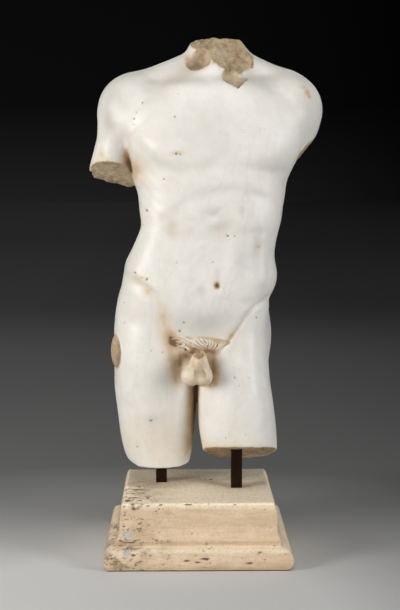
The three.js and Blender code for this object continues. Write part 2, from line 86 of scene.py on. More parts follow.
# Soft chiselled lines, as (x, z) points seen from the front or the back. "furrow" is the depth of the groove.
# "proud" is how far the marble on the left-hand side of the line, going along it, stands out, and over what
# "reach" that dies away. "hollow" is how far the other side sinks. A line tapers over "ends" of its length.
# Where a line has a setting for it, its groove also darkens the marble's colour by that amount, as earth and painted
# shade.
LINES = [
    dict(name="right breast fold", side="front", width=7, furrow=0.5, proud=4.2, edge=16, reach=38, hollow=0.5,
         points=[(-113, 744), (-107, 720), (-90, 700), (-74, 684), (-57, 673), (-39, 668), (-15, 669), (11, 673),
                 (32, 679), (46, 688)]),
    dict(name="left breast fold", side="front", width=7, furrow=0.5, proud=4.0, edge=16, reach=38, hollow=0.5,
         points=[(62, 694), (70, 684), (80, 677), (99, 672), (122, 669), (146, 670), (163, 684)]),
    dict(name="breastbone", side="front", width=16, furrow=1.2,
         points=[(34, 812), (39, 790), (45, 755), (52, 719), (57, 684)]),
    dict(name="rib arch", side="front", width=11, furrow=1.3, proud=1.6, edge=13, reach=28, hollow=0.8, groove_dirt_and_shade=0.4,
         points=[(-66, 572), (-58, 583), (-43, 596), (-22, 614), (-2, 625), (18, 630), (45, 634), (64, 635), (82, 632),
                 (100, 628), (116, 618), (128, 604)]),
    dict(name="belly midline", side="front", width=13, furrow=0.9,
         points=[(60, 630), (55, 601), (50, 561), (41, 517), (33, 486)]),
    dict(name="belly crease", side="front", width=11, furrow=1.3, proud=1.2, edge=12, reach=20, groove_dirt_and_shade=0.4,
         points=[(-52, 566), (-25, 562), (5, 560), (40, 560), (79, 563), (104, 569)]),
    dict(name="right edge of the belly muscle", side="front", width=12, furrow=1.6, groove_dirt_and_shade=0.2,
         points=[(-60, 580), (-54, 558), (-49, 537), (-43, 503), (-46, 474)]),
    dict(name="left edge of the belly muscle", side="front", width=10, furrow=1.7, groove_dirt_and_shade=0.3,
         points=[(107, 578), (103, 556), (102, 534), (95, 508), (88, 486)]),
    dict(name="right groin", side="front", width=10, furrow=2.4, proud=2.6, edge=13, reach=36, hollow=0, groove_dirt_and_shade=0.5,
         points=[(-136, 508), (-126, 495), (-108, 480), (-90, 469), (-76, 460), (-68, 447), (-62, 421), (-56, 400),
                 (-48, 382), (-36, 360)]),
    dict(name="left groin", side="front", width=3.6, furrow=2.6, proud=1.2, edge=7, reach=24, hollow=0.2,
         points=[(31, 350), (44, 369), (60, 390), (70, 404), (79, 419), (88, 431), (100, 441), (117, 452),
                 (134, 466)]),
    dict(name="right collarbone", side="front", width=3, furrow=1.0, proud=0.8, edge=4, reach=13, hollow=3.2,
         points=[(26, 812), (10, 819), (-14, 820), (-39, 820), (-76, 822), (-96, 826)]),
    dict(name="left collarbone", side="front", width=3, furrow=1.0, proud=0.7, edge=4, reach=13, hollow=2.6,
         points=[(142, 831), (122, 828), (100, 827), (78, 825), (60, 821), (46, 812)]),
    dict(name="right shoulder groove", side="front", width=8, furrow=1.0,
         points=[(-72, 812), (-83, 798), (-95, 782), (-108, 756), (-112, 738)]),
    dict(name="left shoulder groove", side="front", width=10, furrow=1.6,
         points=[(112, 824), (126, 814), (144, 800), (162, 780), (176, 752)]),
    dict(name="spine", side="back", width=15, furrow=8,
         points=[(36, 822), (31, 740), (27, 670), (28, 600), (24, 530), (14, 476)]),
    dict(name="gluteal cleft", side="back", width=11, furrow=17,
         points=[(10, 470), (6, 430), (2, 400), (0, 350), (0, 305)]),
    dict(name="right gluteal fold", side="back", width=9, furrow=4, proud=2.5, reach=24,
         points=[(-118, 336), (-92, 313), (-52, 303), (-12, 312)]),
    dict(name="left gluteal fold", side="back", width=9, furrow=4, proud=2.5, reach=24,
         points=[(12, 306), (50, 298), (86, 308), (108, 330)]),
    dict(name="right shoulder blade", side="back", width=11, furrow=2.6, proud=1.5, reach=30,
         points=[(2, 800), (-4, 752), (-20, 712), (-52, 694), (-88, 708)]),
    dict(name="left shoulder blade", side="back", width=11, furrow=2.6, proud=1.5, reach=30,
         points=[(142, 708), (108, 694), (78, 712), (62, 752), (60, 800)]),
    dict(name="right hip furrow", side="back", width=11, furrow=2.2, points=[(-122, 486), (-84, 478), (-36, 482), (0, 462)]),
    dict(name="left hip furrow", side="back", width=11, furrow=2.2, points=[(126, 470), (92, 464), (48, 472), (22, 458)]),
]
for rib in range(4):  # the teeth of muscle over the right ribs
    LINES.append(dict(name="rib", side="front", width=6, furrow=0.7,
                      points=[(-108 + 4 * rib, 700 - 22 * rib), (-88 + 4 * rib, 676 - 24 * rib),
                              (-66 + 4 * rib, 646 - 22 * rib)]))

# Soft swellings and, where the height is negative, hollows: centre, radii and height.
SWELLINGS = [
    ("right breast", (-62, -80, 706), (38, 60, 27), 4.6),
    ("left breast", (128, -76, 706), (36, 60, 27), 4.8),
    ("right flank", (-84, -44, 527), (34, 60, 46), 4.0),
    ("left flank", (118, -36, 505), (24, 60, 34), 1.5),
    ("right belly muscle, low", (-30, -84, 500), (24, 50, 22), 1.4),
    ("right belly muscle, middle", (-10, -84, 538), (26, 50, 18), 1.4),
    ("left belly muscle, low", (64, -84, 530), (22, 50, 28), 2.0),
    ("right belly muscle, high", (-8, -84, 598), (20, 50, 16), 1.0),
    ("left belly muscle, high", (92, -84, 596), (18, 50, 20), 1.2),
    ("under the navel", (34, -84, 456), (12, 50, 9), 1.4),
    ("belly", (24, -84, 436), (60, 60, 40), 3.0),
    ("right dimple, low", (23, -86, 594), (8, 40, 7), -2.2),
    ("right dimple, high", (35, -86, 603), (7, 40, 6), -2.4),
    ("left dimple", (75, -86, 601), (5, 40, 9), -2.2),
    ("dip over the crease, right", (31, -86, 571), (14, 40, 8), -2.2),
    ("dip over the crease, left", (51, -86, 579), (12, 40, 11), -2.6),
    ("dip at the muscle's corner", (-43, -84, 574), (11, 40, 12), -3.4),
    ("dip on the breastbone", (52, -86, 719), (7, 40, 14), -0.9),
    ("dip beside the navel", (6, -88, 469), (7, 40, 8), -1.4),
    ("dip over the navel", (33, -88, 497), (7, 40, 9), -0.8),
    ("navel", (32, -90, 477), (5.5, 30, 6.0), -7.0),
    ("right nipple", (-44, -93, 700), (4, 20, 3), 1.0),
    ("left nipple", (129, -93, 710), (4, 20, 3), 1.0),
    ("hollow over the right collarbone", (-34, -40, 835), (32, 34, 12), -6.0),
    ("hollow over the left collarbone", (96, -36, 836), (26, 34, 9), -3.4),
    ("right shoulder", (-104, -28, 788), (34, 40, 30), 3.0),
    ("right thigh front", (-92, -50, 290), (34, 50, 95), 3.0),
    ("left thigh front", (74, -72, 290), (34, 50, 95), 2.5),
    ("right saddle", (-10, 60, 520), (26, 50, 70), 3.0),
    ("left saddle", (58, 60, 520), (26, 50, 70), 3.0),
    ("right sacral dimple", (-24, 80, 462), (9, 40, 9), -2.0),
    ("left sacral dimple", (44, 80, 458), (9, 40, 9), -2.0),
    ("right back of thigh", (-70, 112, 220), (34, 50, 80), 2.0),
    ("left back of thigh", (70, 76, 230), (34, 50, 80), 2.0),
]

RIGHT_ARM_BREAK = ((-122, -28, 683), (0.16, 0.45, 0.88))  # a point and a normal into the marble that is left
LEFT_ARM_BREAK = ((182, -2, 704), (-0.72, 0.17, 0.68))
NECK_BREAK_LEFT = ((60, -58, 817), (0.30, -0.65, 0.70))  # these two normals point away from the marble
NECK_BREAK_TOP = ((14, -18, 880), (-0.25, -0.35, 0.90))
NECK_BOWLS = [((-1.5, -27.5, 864), (24, 24, 24)), ((58, -57, 841), (21, 25, 24))]  # broken out of the front
NECK_AXIS = (36, 10)
NECK_REACH = 60
NECK_TOP = 900
RIGHT_THIGH_BREAK = 151
RIM_WEAR = 2.2  # radius to which the edges of the breaks are worn


def curve(pairs):
    """A smooth curve through (height, distance) pairs."""
    spots, values = np.array(pairs, float).T
    slopes = np.empty(len(spots))
    slopes[1:-1] = (values[2:] - values[:-2]) / (spots[2:] - spots[:-2])
    slopes[0] = (values[1] - values[0]) / (spots[1] - spots[0])
    slopes[-1] = (values[-1] - values[-2]) / (spots[-1] - spots[-2])
    fine = np.arange(spots[0], spots[-1] + 0.5, 1.0)
    i = np.clip(np.searchsorted(spots, fine, side="right") - 1, 0, len(spots) - 2)
    span = spots[i + 1] - spots[i]
    t = (fine - spots[i]) / span
    smooth = ((2 * t**3 - 3 * t**2 + 1) * values[i] + (t**3 - 2 * t**2 + t) * span * slopes[i]
              + (3 * t**2 - 2 * t**3) * values[i + 1] + (t**3 - t**2) * span * slopes[i + 1])
    return lambda at: np.interp(at, fine, smooth)


def outline(sides):
    return {name: curve(value) if isinstance(value, list) else value for name, value in sides.items()}


TRUNK, RIGHT_THIGH, LEFT_THIGH = outline(TRUNK), outline(RIGHT_THIGH), outline(LEFT_THIGH)


def rise(t):
    """0 up to 1 with soft ends."""
    t = np.clip(t, 0, 1)
    return t * t * (3 - 2 * t)


def blend(a, b, radius):
    h = np.clip(0.5 + 0.5 * (b - a) / radius, 0, 1)
    return b * (1 - h) + a * h - radius * h * (1 - h)


def cut(a, b, radius):
    return -blend(-a, -b, radius)


def lofted(p, shape):
    """A stack of rounded sections that follows four outlines."""
    x, y, z = p.T
    right, left, front, back = (shape[side](z) for side in ("right", "left", "front", "back"))
    half_x = (left - right) / 2
    half_y = (back - front) / 2
    u = np.abs(x - (right + left) / 2) / half_x
    v = np.abs(y - (front + back) / 2) / half_y
    n = shape["squareness"]
    ring = (u**n + v**n + 1e-12) ** (1 / n)
    steepness = np.hypot(u / half_x, v / half_y) / (np.hypot(u, v) + 1e-9)
    return (ring - 1) / np.maximum(steepness, 1e-3)


def ellipsoid(p, centre, radii):
    q = (p - np.array(centre, float)) / np.array(radii, float)
    near = np.sqrt((q * q).sum(axis=1))
    q /= np.array(radii, float)
    steep = np.sqrt((q * q).sum(axis=1))
    return near * (near - 1) / (steep + 1e-9)


def round_bar(p, a, b, radius_a, radius_b):
    a = np.array(a, float)
    d = np.array(b, float) - a
    t = np.clip((p - a) @ d / (d @ d), 0, 1)
    q = p - a - t[:, None] * d
    return np.sqrt((q * q).sum(axis=1)) - (radius_a + (radius_b - radius_a) * t)


def over(p, plane):
    """Height over a plane, given as a point and a normal."""
    point, normal = np.array(plane, float)
    return (p - point) @ (normal / np.linalg.norm(normal))


# ---------------------------------------------------------------- soft noise

class Grain:
    """Smooth random hills of one size, between about -1 and 1, the same at every run."""

    def __init__(self, seed):
        random = np.random.default_rng(seed)
        self.order = random.permutation(256)
        slopes = random.normal(size=(256, 3))
        self.slopes = slopes / np.linalg.norm(slopes, axis=1)[:, None]

    def __call__(self, p, size):
        q = p / size
        cell = np.floor(q).astype(int)
        t = q - cell
        s = t * t * t * (t * (t * 6 - 15) + 10)
        total = np.zeros(len(p))
        for corner in itertools.product((0, 1), repeat=3):
            i, j, k = ((cell + corner) & 255).T
            slope = self.slopes[self.order[(self.order[(self.order[i] + j) & 255] + k) & 255]]
            weight = np.prod(np.where(corner, s, 1 - s), axis=1)
            total += weight * ((t - corner) * slope).sum(axis=1)
        return total * 1.6


ROUGH = Grain(11)


# ---------------------------------------------------------------- anatomy

def trunk_and_legs(p):
    z = p[:, 2]
    trunk = lofted(p, TRUNK)
    trunk = cut(trunk, 338 - z, 20)
    trunk = cut(trunk, z - 850, 14)
    right_thigh = cut(lofted(p, RIGHT_THIGH), z - 470, 24)
    left_thigh = cut(lofted(p, LEFT_THIGH), z - 470, 24)
    body = blend(trunk, blend(right_thigh, left_thigh, 6), 18)
    buttocks = blend(ellipsoid(p, (-68, 54, 392), (72, 66, 80)), ellipsoid(p, (68, 48, 380), (64, 64, 78)), 8)
    body = blend(body, buttocks, 24)
    flanks = np.minimum(ellipsoid(p, (100, 0, 487), (36, 62, 32)), ellipsoid(p, (-92, 0, 486), (36, 62, 38)))
    return blend(body, flanks, 16)


def shoulders_and_neck(p):
    girdle = blend(round_bar(p, (10, 22, 826), (-122, 8, 788), 34, 34),
                   round_bar(p, (66, 22, 826), (168, 8, 786), 34, 34), 10)
    trapezius = blend(round_bar(p, (30, 30, 868), (-104, 20, 811), 26, 26),
                      round_bar(p, (46, 30, 868), (150, 24, 818), 26, 26), 10)
    return blend(blend(girdle, trapezius, 28), ellipsoid(p, (35, 22, 850), (52, 50, 110)), 16)


def chest_muscles(p):
    return np.minimum(ellipsoid(p, (-34, -28, 728), (90, 53, 76)), ellipsoid(p, (104, -28, 730), (76, 53, 76)))


def shoulder_blades(p):
    return np.minimum(ellipsoid(p, (-48, 62, 756), (54, 39, 62)), ellipsoid(p, (110, 62, 756), (50, 39, 62)))


def arms(p):
    right = blend(ellipsoid(p, (-121, 4, 764), (50, 50, 61)), round_bar(p, (-131, 8, 750), (-162, 16, 625), 37, 40), 18)
    right = blend(right, round_bar(p, (-122, 30, 740), (-122, 40, 620), 18, 18), 12)
    left = blend(ellipsoid(p, (160, 4, 768), (54, 50, 62)), round_bar(p, (160, 8, 750), (147, 18, 640), 44, 34), 18)
    return np.minimum(right, left)


def genitals(p):
    right = blend(ellipsoid(p, (-12, -91, 323.5), (17.5, 17, 18)), round_bar(p, (-3, -82, 354), (-9, -88, 332), 8, 11), 6)
    left = blend(ellipsoid(p, (8.5, -91, 321), (16, 16, 16.5)), round_bar(p, (8, -82, 352), (11, -88, 330), 7, 10), 6)
    scar = cut(round_bar(p, (0, -92, 353), (3, -99, 330), 9, 8.5), -104 - p[:, 1], 1.5)
    return blend(blend(right, left, 2), scar, 2)


def strut_stump(p):
    return ellipsoid(p, (-139, -14, 356), (13.5, 26, 32))


def rounded_path(points, between=4):
    """Extra points between the given ones, on a smooth curve through them."""
    points = np.array(points, float)
    order = np.arange(len(points)) * 10.0
    fine = np.linspace(0, order[-1], (len(points) - 1) * between + 1)
    return np.stack([curve(list(zip(order, points[:, k])))(fine) for k in (0, 1)], axis=1)


for line in LINES:
    line["path"] = rounded_path(line["points"])


def beside(x, z, path):
    """Distance to a path, which side of it (1 on the left going along it, -1 on the right) and how far along.

    Stretches of the path that are about equally far away all have a say, so that nothing jumps between them."""
    start, step = path[:-1], np.diff(path, axis=0)
    px, pz = x[:, None] - start[:, 0], z[:, None] - start[:, 1]
    t = np.clip((px * step[:, 0] + pz * step[:, 1]) / (step**2).sum(axis=1), 0, 1)
    squared = (px - t * step[:, 0]) ** 2 + (pz - t * step[:, 1]) ** 2
    nearest = squared.min(axis=1, keepdims=True)
    say = np.exp(-4 * (squared - nearest) / (nearest + 0.3))
    say /= say.sum(axis=1, keepdims=True)
    side = (say * np.sign(step[:, 0] * pz - step[:, 1] * px)).sum(axis=1)
    along = (say * (np.arange(len(step)) + t)).sum(axis=1) / len(step)
    return np.sqrt((say * squared).sum(axis=1)), side, along


def modelling(p):
    """How far the soft modelling of the body lifts the surface, and how deep its grooves and hollows are."""
    lift = np.zeros(len(p))
    sunk = np.zeros(len(p))
    for line in LINES:
        reach = max(3 * line["width"], 2.2 * line.get("reach", 0))
        low, high = line["path"].min(axis=0) - reach, line["path"].max(axis=0) + reach
        facing = -p[:, 1] if line["side"] == "front" else p[:, 1]
        near = (p[:, 0] > low[0]) & (p[:, 0] < high[0]) & (p[:, 2] > low[1]) & (p[:, 2] < high[1]) & (facing > -20)
        if not near.any():
            continue
        x, z = p[near, 0], p[near, 2]
        away, side, along = beside(x, z, line["path"])
        taper = rise(along / 0.16) * rise((1 - along) / 0.16)
        groove = np.exp(-((away / line["width"]) ** 2)) * taper
        height = -line["furrow"] * groove
        if "proud" in line:
            edge = 1 - np.exp(-((away / line.get("edge", line["width"])) ** 2))
            fade = np.exp(-((away / line["reach"]) ** 2)) * edge * taper
            hollow = line.get("hollow", 0)
            height += ((line["proud"] - hollow) + (line["proud"] + hollow) * side) / 2 * fade
        turned = np.clip((facing[near] + 20) / 40, 0, 1)
        lift[near] += height * turned
        # The groove's depth, for the earth and painted shade that darken its colour, scaled by the line's setting for
        # that.
        sunk[near] += (line["furrow"] + 0.4 * line.get("proud", 0)) * line.get("groove_dirt_and_shade", 1) * groove * turned
    for _, centre, radii, height in SWELLINGS:
        q = (p - np.array(centre, float)) / np.array(radii, float)
        hill = height * np.exp(-(q * q).sum(axis=1))
        lift += hill
        sunk += max(-height, 0) * (hill / height)
    return lift, sunk


def armless(p):
    body = blend(trunk_and_legs(p), shoulders_and_neck(p), 26)
    body = blend(body, chest_muscles(p), 18)
    body = blend(body, shoulder_blades(p), 24)
    body = body - modelling(p)[0]
    body = blend(body, genitals(p), 4)
    return blend(body, strut_stump(p), 3)


def unbroken(p, body=None):
    armpit_to_shoulder = rise((p[:, 2] - 705) / 70)
    return blend(armless(p) if body is None else body, arms(p), 5 + 33 * armpit_to_shoulder)


def breaks(p, body):
    """Positive in the marble that is lost."""
    x, y, z = p.T
    rough = 1.5 * ROUGH(p, 17) + 0.8 * ROUGH(p + 50, 7)
    corner = over(p, ((-112, -40, 160), (-0.55, -0.2, -0.8)))
    right_thigh = np.maximum(RIGHT_THIGH_BREAK - z, corner) + 0.6 * rough
    left_thigh = 173 - 0.36 * y - 0.0011 * (y + 8) ** 2 - z + 0.8 * rough
    below = np.where(x < 2, right_thigh, left_thigh)
    bowls = [-ellipsoid(p, centre, radii) for centre, radii in NECK_BOWLS]
    slanted = np.maximum.reduce([over(p, NECK_BREAK_TOP) + rough, over(p, NECK_BREAK_LEFT), *bowls]) + rough
    column = NECK_REACH - np.hypot(x - NECK_AXIS[0], 0.7 * (y - NECK_AXIS[1]))
    neck = np.maximum(np.minimum(slanted, column), z - NECK_TOP + 2 * rough)
    arm = np.where(x < 0, -over(p, RIGHT_ARM_BREAK), -over(p, LEFT_ARM_BREAK)) + rough
    arm = np.minimum(arm, body - 2)
    near_neck = (z > 780) & (np.abs(x - NECK_AXIS[0]) < NECK_REACH)
    return np.where(z < 400, below, np.where(near_neck, neck, arm))


def marble(p):
    body = armless(p)
    return cut(unbroken(p, body), breaks(p, body), RIM_WEAR)


# ---------------------------------------------------------------- field to mesh

CORNERS = np.array(list(itertools.product((0, 1), repeat=3)))
CELL_EDGES = [(a, b) for a, b in itertools.combinations(range(8), 2) if np.abs(CORNERS[a] - CORNERS[b]).sum() == 1]


def one_sheet(code):
    """True when the surface passes through a cell as one sheet."""
    inside = [bool(code >> i & 1) for i in range(8)]
    for wanted in (True, False):
        left = {i for i in range(8) if inside[i] is wanted}
        parts = 0
        while left:
            parts += 1
            to_do = [left.pop()]
            while to_do:
                a = to_do.pop()
                joined = {b for b in left if (min(a, b), max(a, b)) in CELL_EDGES}
                left -= joined
                to_do.extend(joined)
        if parts > 1:
            return False
    for axis, level in itertools.product(range(3), (0, 1)):
        a, b, c, d = (inside[i] for i in range(8) if CORNERS[i][axis] == level)
        if a == d and b == c and a != b:
            return False
    return True


def surface_net(value, grids):
    """One vertex for each cell that the surface crosses, one quad for each grid edge that it crosses."""
    single = np.array([one_sheet(code) for code in range(256)])
    cells_shape = tuple(n - 1 for n in value.shape)
    while True:
        code = np.zeros(cells_shape, int)
        for i, (a, b, c) in enumerate(CORNERS):
            part = value[a:cells_shape[0] + a, b:cells_shape[1] + b, c:cells_shape[2] + c] < 0
            code |= part.astype(int) << i
        crossed_twice = np.argwhere(~single[code])
        if not len(crossed_twice):
            break
        for cell in crossed_twice:
            empty = [tuple(cell + corner) for corner in CORNERS if value[tuple(cell + corner)] >= 0]
            if empty:
                value[min(empty, key=lambda at: value[at])] = -1e-3
    active = (code > 0) & (code < 255)
    cells = np.argwhere(active)
    number = np.full(cells_shape, -1)
    number[active] = np.arange(len(cells))
    total = np.zeros((len(cells), 3))
    crossings = np.zeros(len(cells))
    for a, b in CELL_EDGES:
        at_a = value[tuple((cells + CORNERS[a]).T)]
        at_b = value[tuple((cells + CORNERS[b]).T)]
        crossed = (at_a < 0) != (at_b < 0)
        t = at_a[crossed] / (at_a[crossed] - at_b[crossed])
        total[crossed] += CORNERS[a] + (CORNERS[b] - CORNERS[a]) * t[:, None]
        crossings[crossed] += 1
    place = cells + total / crossings[:, None]
    vertices = np.stack([np.interp(place[:, k], np.arange(len(grids[k])), grids[k]) for k in range(3)], axis=1)
    quads = []
    inside = value < 0
    for axis in range(3):
        solid = np.moveaxis(inside, axis, 0)
        cell = np.moveaxis(number, axis, 0)
        i, j, k = np.argwhere(solid[:-1, 1:-1, 1:-1] != solid[1:, 1:-1, 1:-1]).T
        j, k = j + 1, k + 1
        ring = np.stack([cell[i, j - 1, k - 1], cell[i, j, k - 1], cell[i, j, k], cell[i, j - 1, k]], axis=1)
        backwards = solid[i, j, k] if axis == 1 else ~solid[i, j, k]
        ring[backwards] = ring[backwards][:, ::-1]
        quads.append(ring)
    return vertices, np.concatenate(quads)


TETRAHEDRON = np.array([(1, 1, 1), (1, -1, -1), (-1, 1, -1), (-1, -1, 1)], float)


def value_and_slope(field, p, step=0.4):
    samples = [field(p + corner * step) for corner in TETRAHEDRON]
    slope = sum(s[:, None] * corner for s, corner in zip(samples, TETRAHEDRON)) / (4 * step)
    return sum(samples) / 4, slope


def onto_surface(field, p, limit):
    value, slope = value_and_slope(field, p)
    step = np.clip(value / np.maximum((slope**2).sum(axis=1), 0.2), -limit, limit)
    return p - slope * step[:, None]


def edges_of(faces):
    sides = faces.shape[1]
    pairs = np.concatenate([faces[:, [i, (i + 1) % sides]] for i in range(sides)])
    return np.sort(pairs, axis=1)


def relaxed(vertices, faces, strength, moving=None):
    """Each vertex drifts towards the middle of its neighbours."""
    edges = edges_of(faces)
    both = np.concatenate([edges, edges[:, ::-1]])
    count = np.bincount(both[:, 0], minlength=len(vertices))
    middle = np.stack([np.bincount(both[:, 0], vertices[both[:, 1], k], len(vertices)) for k in range(3)], axis=1)
    middle /= count[:, None]
    move = (middle - vertices) * strength
    return vertices + (move if moving is None else move * moving[:, None])


def refined(vertices, triangles, wanted):
    """Halves each edge that is well over the wanted length, and splits the triangles to suit."""
    pairs = edges_of(triangles)
    keys, which = np.unique(pairs[:, 0] * len(vertices) + pairs[:, 1], return_inverse=True)
    first, second = keys // len(vertices), keys % len(vertices)
    middles = (vertices[first] + vertices[second]) / 2
    long = np.linalg.norm(vertices[first] - vertices[second], axis=1) > 1.35 * wanted(middles)
    new = np.where(long, len(vertices) + np.cumsum(long) - 1, -1)
    halfway = new[which].reshape(3, -1).T
    vertices = np.concatenate([vertices, middles[long]])
    count = (halfway >= 0).sum(axis=1)
    # One split side is turned to come first, and one whole side to come last.
    start = np.where(count == 1, halfway.argmax(axis=1), (halfway.argmin(axis=1) + 1) % 3)
    turn = (start[:, None] + np.arange(3)) % 3
    rows = np.arange(len(triangles))[:, None]
    (a, b, c), (ab, bc, ca) = triangles[rows, turn].T, halfway[rows, turn].T

    def faces(chosen, *corners):
        return [np.stack([v[chosen] for v in corner], axis=1) for corner in corners]

    none, one, two, three = (count == n for n in range(4))
    nearer = np.linalg.norm(vertices[a] - vertices[bc], axis=1) < np.linalg.norm(vertices[ab] - vertices[c], axis=1)
    parts = faces(none, (a, b, c))
    parts += faces(one, (a, ab, c), (ab, b, c))
    parts += faces(two, (ab, b, bc))
    parts += faces(two & nearer, (a, ab, bc), (a, bc, c))
    parts += faces(two & ~nearer, (a, ab, c), (ab, bc, c))
    parts += faces(three, (a, ab, ca), (ab, b, bc), (ca, bc, c), (ab, bc, ca))
    return vertices, np.concatenate(parts)


def spaced(start, stop, step):
    return np.linspace(start, stop, round((stop - start) / step) + 1)


# ---------------------------------------------------------------- fine carving and wear

# Curls of the hair: (x, z) points, half width and height.
LOCKS = [
    ([(-44, 383), (-37, 385), (-29, 383), (-22, 379), (-15, 375)], 1.7, 2.6),
    ([(-42, 388), (-34, 388.5), (-26, 386), (-18, 382), (-10, 375)], 1.7, 2.2),
    ([(-36, 379), (-31, 380), (-25, 378.5), (-23, 375.5), (-26, 372), (-31, 371.5), (-36, 373.5)], 1.5, 2.4),
    ([(-34, 376.5), (-30, 375.5), (-26, 375)], 1.0, 1.6),
    ([(-38, 368), (-29, 371), (-23, 370), (-18, 366.5), (-15, 362)], 1.6, 2.4),
    ([(-33, 366.5), (-27, 366), (-22, 361), (-17, 357.5), (-14, 354)], 1.5, 2.2),
    ([(-17, 381), (-12, 380), (-8, 375), (-6, 371)], 1.6, 2.2),
    ([(-7, 384), (-6, 378), (-1, 373), (5, 370), (10, 365.5)], 1.6, 2.6),
    ([(-3, 385), (1, 379.5), (4, 375.5), (10, 371.5), (13, 367)], 1.5, 2.4),
    ([(4, 384), (8, 379.5), (12, 375)], 1.5, 2.2),
    ([(11, 383), (16, 378.5), (16, 374.5), (13, 371)], 1.5, 2.2),
    ([(20, 381), (21, 377), (20, 373), (17, 369.5)], 1.4, 2.4),
    ([(25, 379), (25, 375), (23, 371), (19, 366)], 1.4, 2.4),
    ([(30, 376), (30, 371.5), (27, 368), (22, 364)], 1.4, 2.4),
    ([(36, 373), (34, 368.5), (28, 363.5), (20, 358.5), (16, 355.5)], 1.5, 2.4),
    ([(41, 376), (38, 369), (33, 364), (26, 358)], 1.4, 2.0),
    ([(46, 379), (44, 374), (40, 370)], 1.3, 1.6),
    ([(52, 383), (50, 378), (46, 374)], 1.3, 1.2),
    ([(-10, 371), (-4, 369), (2, 365.5), (6, 361)], 1.5, 2.2),
    ([(-6, 372), (1, 368), (7, 363), (12, 356)], 1.5, 2.2),
]
LOCKS = [(rounded_path(points, 3), width, height) for points, width, height in LOCKS]
DRILLED = [(-30, 374, 2.0), (-22, 363.5, 2.2), (-20, 356, 3.5), (20, 354.5, 2.6), (17, 372, 1.2), (10, 378, 1.2),
           (-12, 377, 1.2), (33, 372, 1.2)]

# Small pits in the skin of the front: x, z, radius, depth and how dark the dirt in them is.
PITS = [
    (-33, 800, 2.0, 0.8, 0.6), (-39, 761, 2.2, 1.4, 1.0), (-94, 786, 2.0, 1.0, 0.9), (-101, 775, 1.6, 0.8, 0.6),
    (-104, 769, 1.8, 1.0, 0.8), (-108, 758, 1.8, 1.0, 0.9), (-109, 748, 1.4, 0.8, 0.6), (-58, 656, 2.0, 1.2, 0.9),
    (-88, 603, 2.6, 1.4, 1.0), (-43, 700, 2.0, 0.7, 0.7), (-37, 699, 2.4, 0.9, 1.0), (-30, 698, 2.4, 0.7, 0.7),
    (103, 540, 2.6, 0.8, 0.5), (50, 561, 2.4, 1.0, 0.9), (62, 560, 2.0, 0.8, 0.7), (25, 517, 2.0, 0.6, 0.7),
    (-37, 515, 2.0, 0.8, 0.7), (-108, 497, 2.6, 1.2, 0.9), (-95, 489, 2.2, 0.8, 0.6), (-87, 487, 3.0, 1.0, 0.8),
    (-32, 398, 2.4, 1.4, 1.0), (-25, 413, 2.4, 1.0, 0.8), (-61, 359, 2.4, 0.8, 0.6), (-80, 363, 2.2, 1.0, 0.7),
    (-128, 444, 2.0, 0.8, 0.6), (-128, 408, 2.2, 0.8, 0.6), (-82, 238, 3.0, 1.2, 0.8), (-74, 243, 2.0, 0.6, 0.5),
    (-107, 188, 2.6, 1.0, 0.7), (62, 317, 2.6, 1.0, 0.6), (86, 316, 2.2, 0.8, 0.6), (70, 303, 2.4, 0.8, 0.6),
    (101, 419, 2.4, 1.2, 0.8), (82, 217, 2.6, 1.0, 0.6), (47, 212, 2.2, 0.8, 0.5), (0, 730, 1.6, 0.5, 0.4),
    (-62, 560, 1.6, 0.6, 0.5), (26, 490, 2.0, 0.6, 0.5), (5, 540, 1.4, 0.4, 0.4), (88, 645, 1.5, 0.4, 0.4),
]

# Earth and old stain on the front; in the groins, at the right armpit, beside and under the genitals and between the
# thighs it is also painted shade: x, z, half width, half height and amount.
SOILED_AND_SHADED = [
    (-86, 466, 9, 9, 0.26), (-60, 412, 14, 36, 0.21), (-46, 384, 12, 16, 0.26), (-100, 484, 16, 8, 0.12),
    (56, 388, 8, 10, 0.22), (88, 430, 12, 6, 0.08), (8, 396, 52, 9, 0.12),
    (-48, 352, 12, 34, 0.22), (-38, 326, 8, 28, 0.16), (34, 345, 7, 30, 0.12), (-40, 372, 7, 8, 0.2),
    (33, 492, 5, 9, 0.12), (32, 476, 5, 5, 0.9), (2, 332, 24, 30, 0.12), (2, 312, 30, 9, 0.3),
    (-22, 354, 8, 8, 0.70), (-31, 342, 4, 18, 0.5), (26, 361, 9, 6, 0.55), (27, 340, 4, 20, 0.35),
    (2, 303, 28, 6, 0.45), (-42, 346, 10, 34, 0.12), (-10, 240, 12, 90, 0.06), (-140, 666, 42, 20, 0.55), (-62, 200, 44, 50, 0.17), (60, 220, 50, 60, 0.05), (-50, 410, 10, 30, 0.05),
    (-20, 172, 14, 20, 0.18), (-120, 200, 26, 50, 0.10), (40, 190, 46, 16, 0.20), (110, 190, 30, 22, 0.14),
    (-44, 566, 10, 7, 0.10), (102, 538, 4, 10, 0.22),
    (-146, 760, 9, 20, 0.12), (-165, 698, 8, 12, 0.30), (-118, 700, 5, 26, 0.30), (-104, 690, 8, 20, 0.10),
    (188, 804, 5, 6, 0.55), (182, 812, 6, 4, 0.3), (174, 817, 8, 5, 0.2), (191, 796, 3, 3, 0.35), (62, 824, 8, 5, 0.22),
    (-98, 490, 20, 7, 0.12), (-148, 330, 10, 50, 0.20), (2, 863, 17, 15, 0.65), (-2, 850, 13, 6, 0.40),
    (-18, 864, 5, 14, 0.40), (-34, 700, 14, 5, 0.22),
]
STRUT_SOIL = 0.35
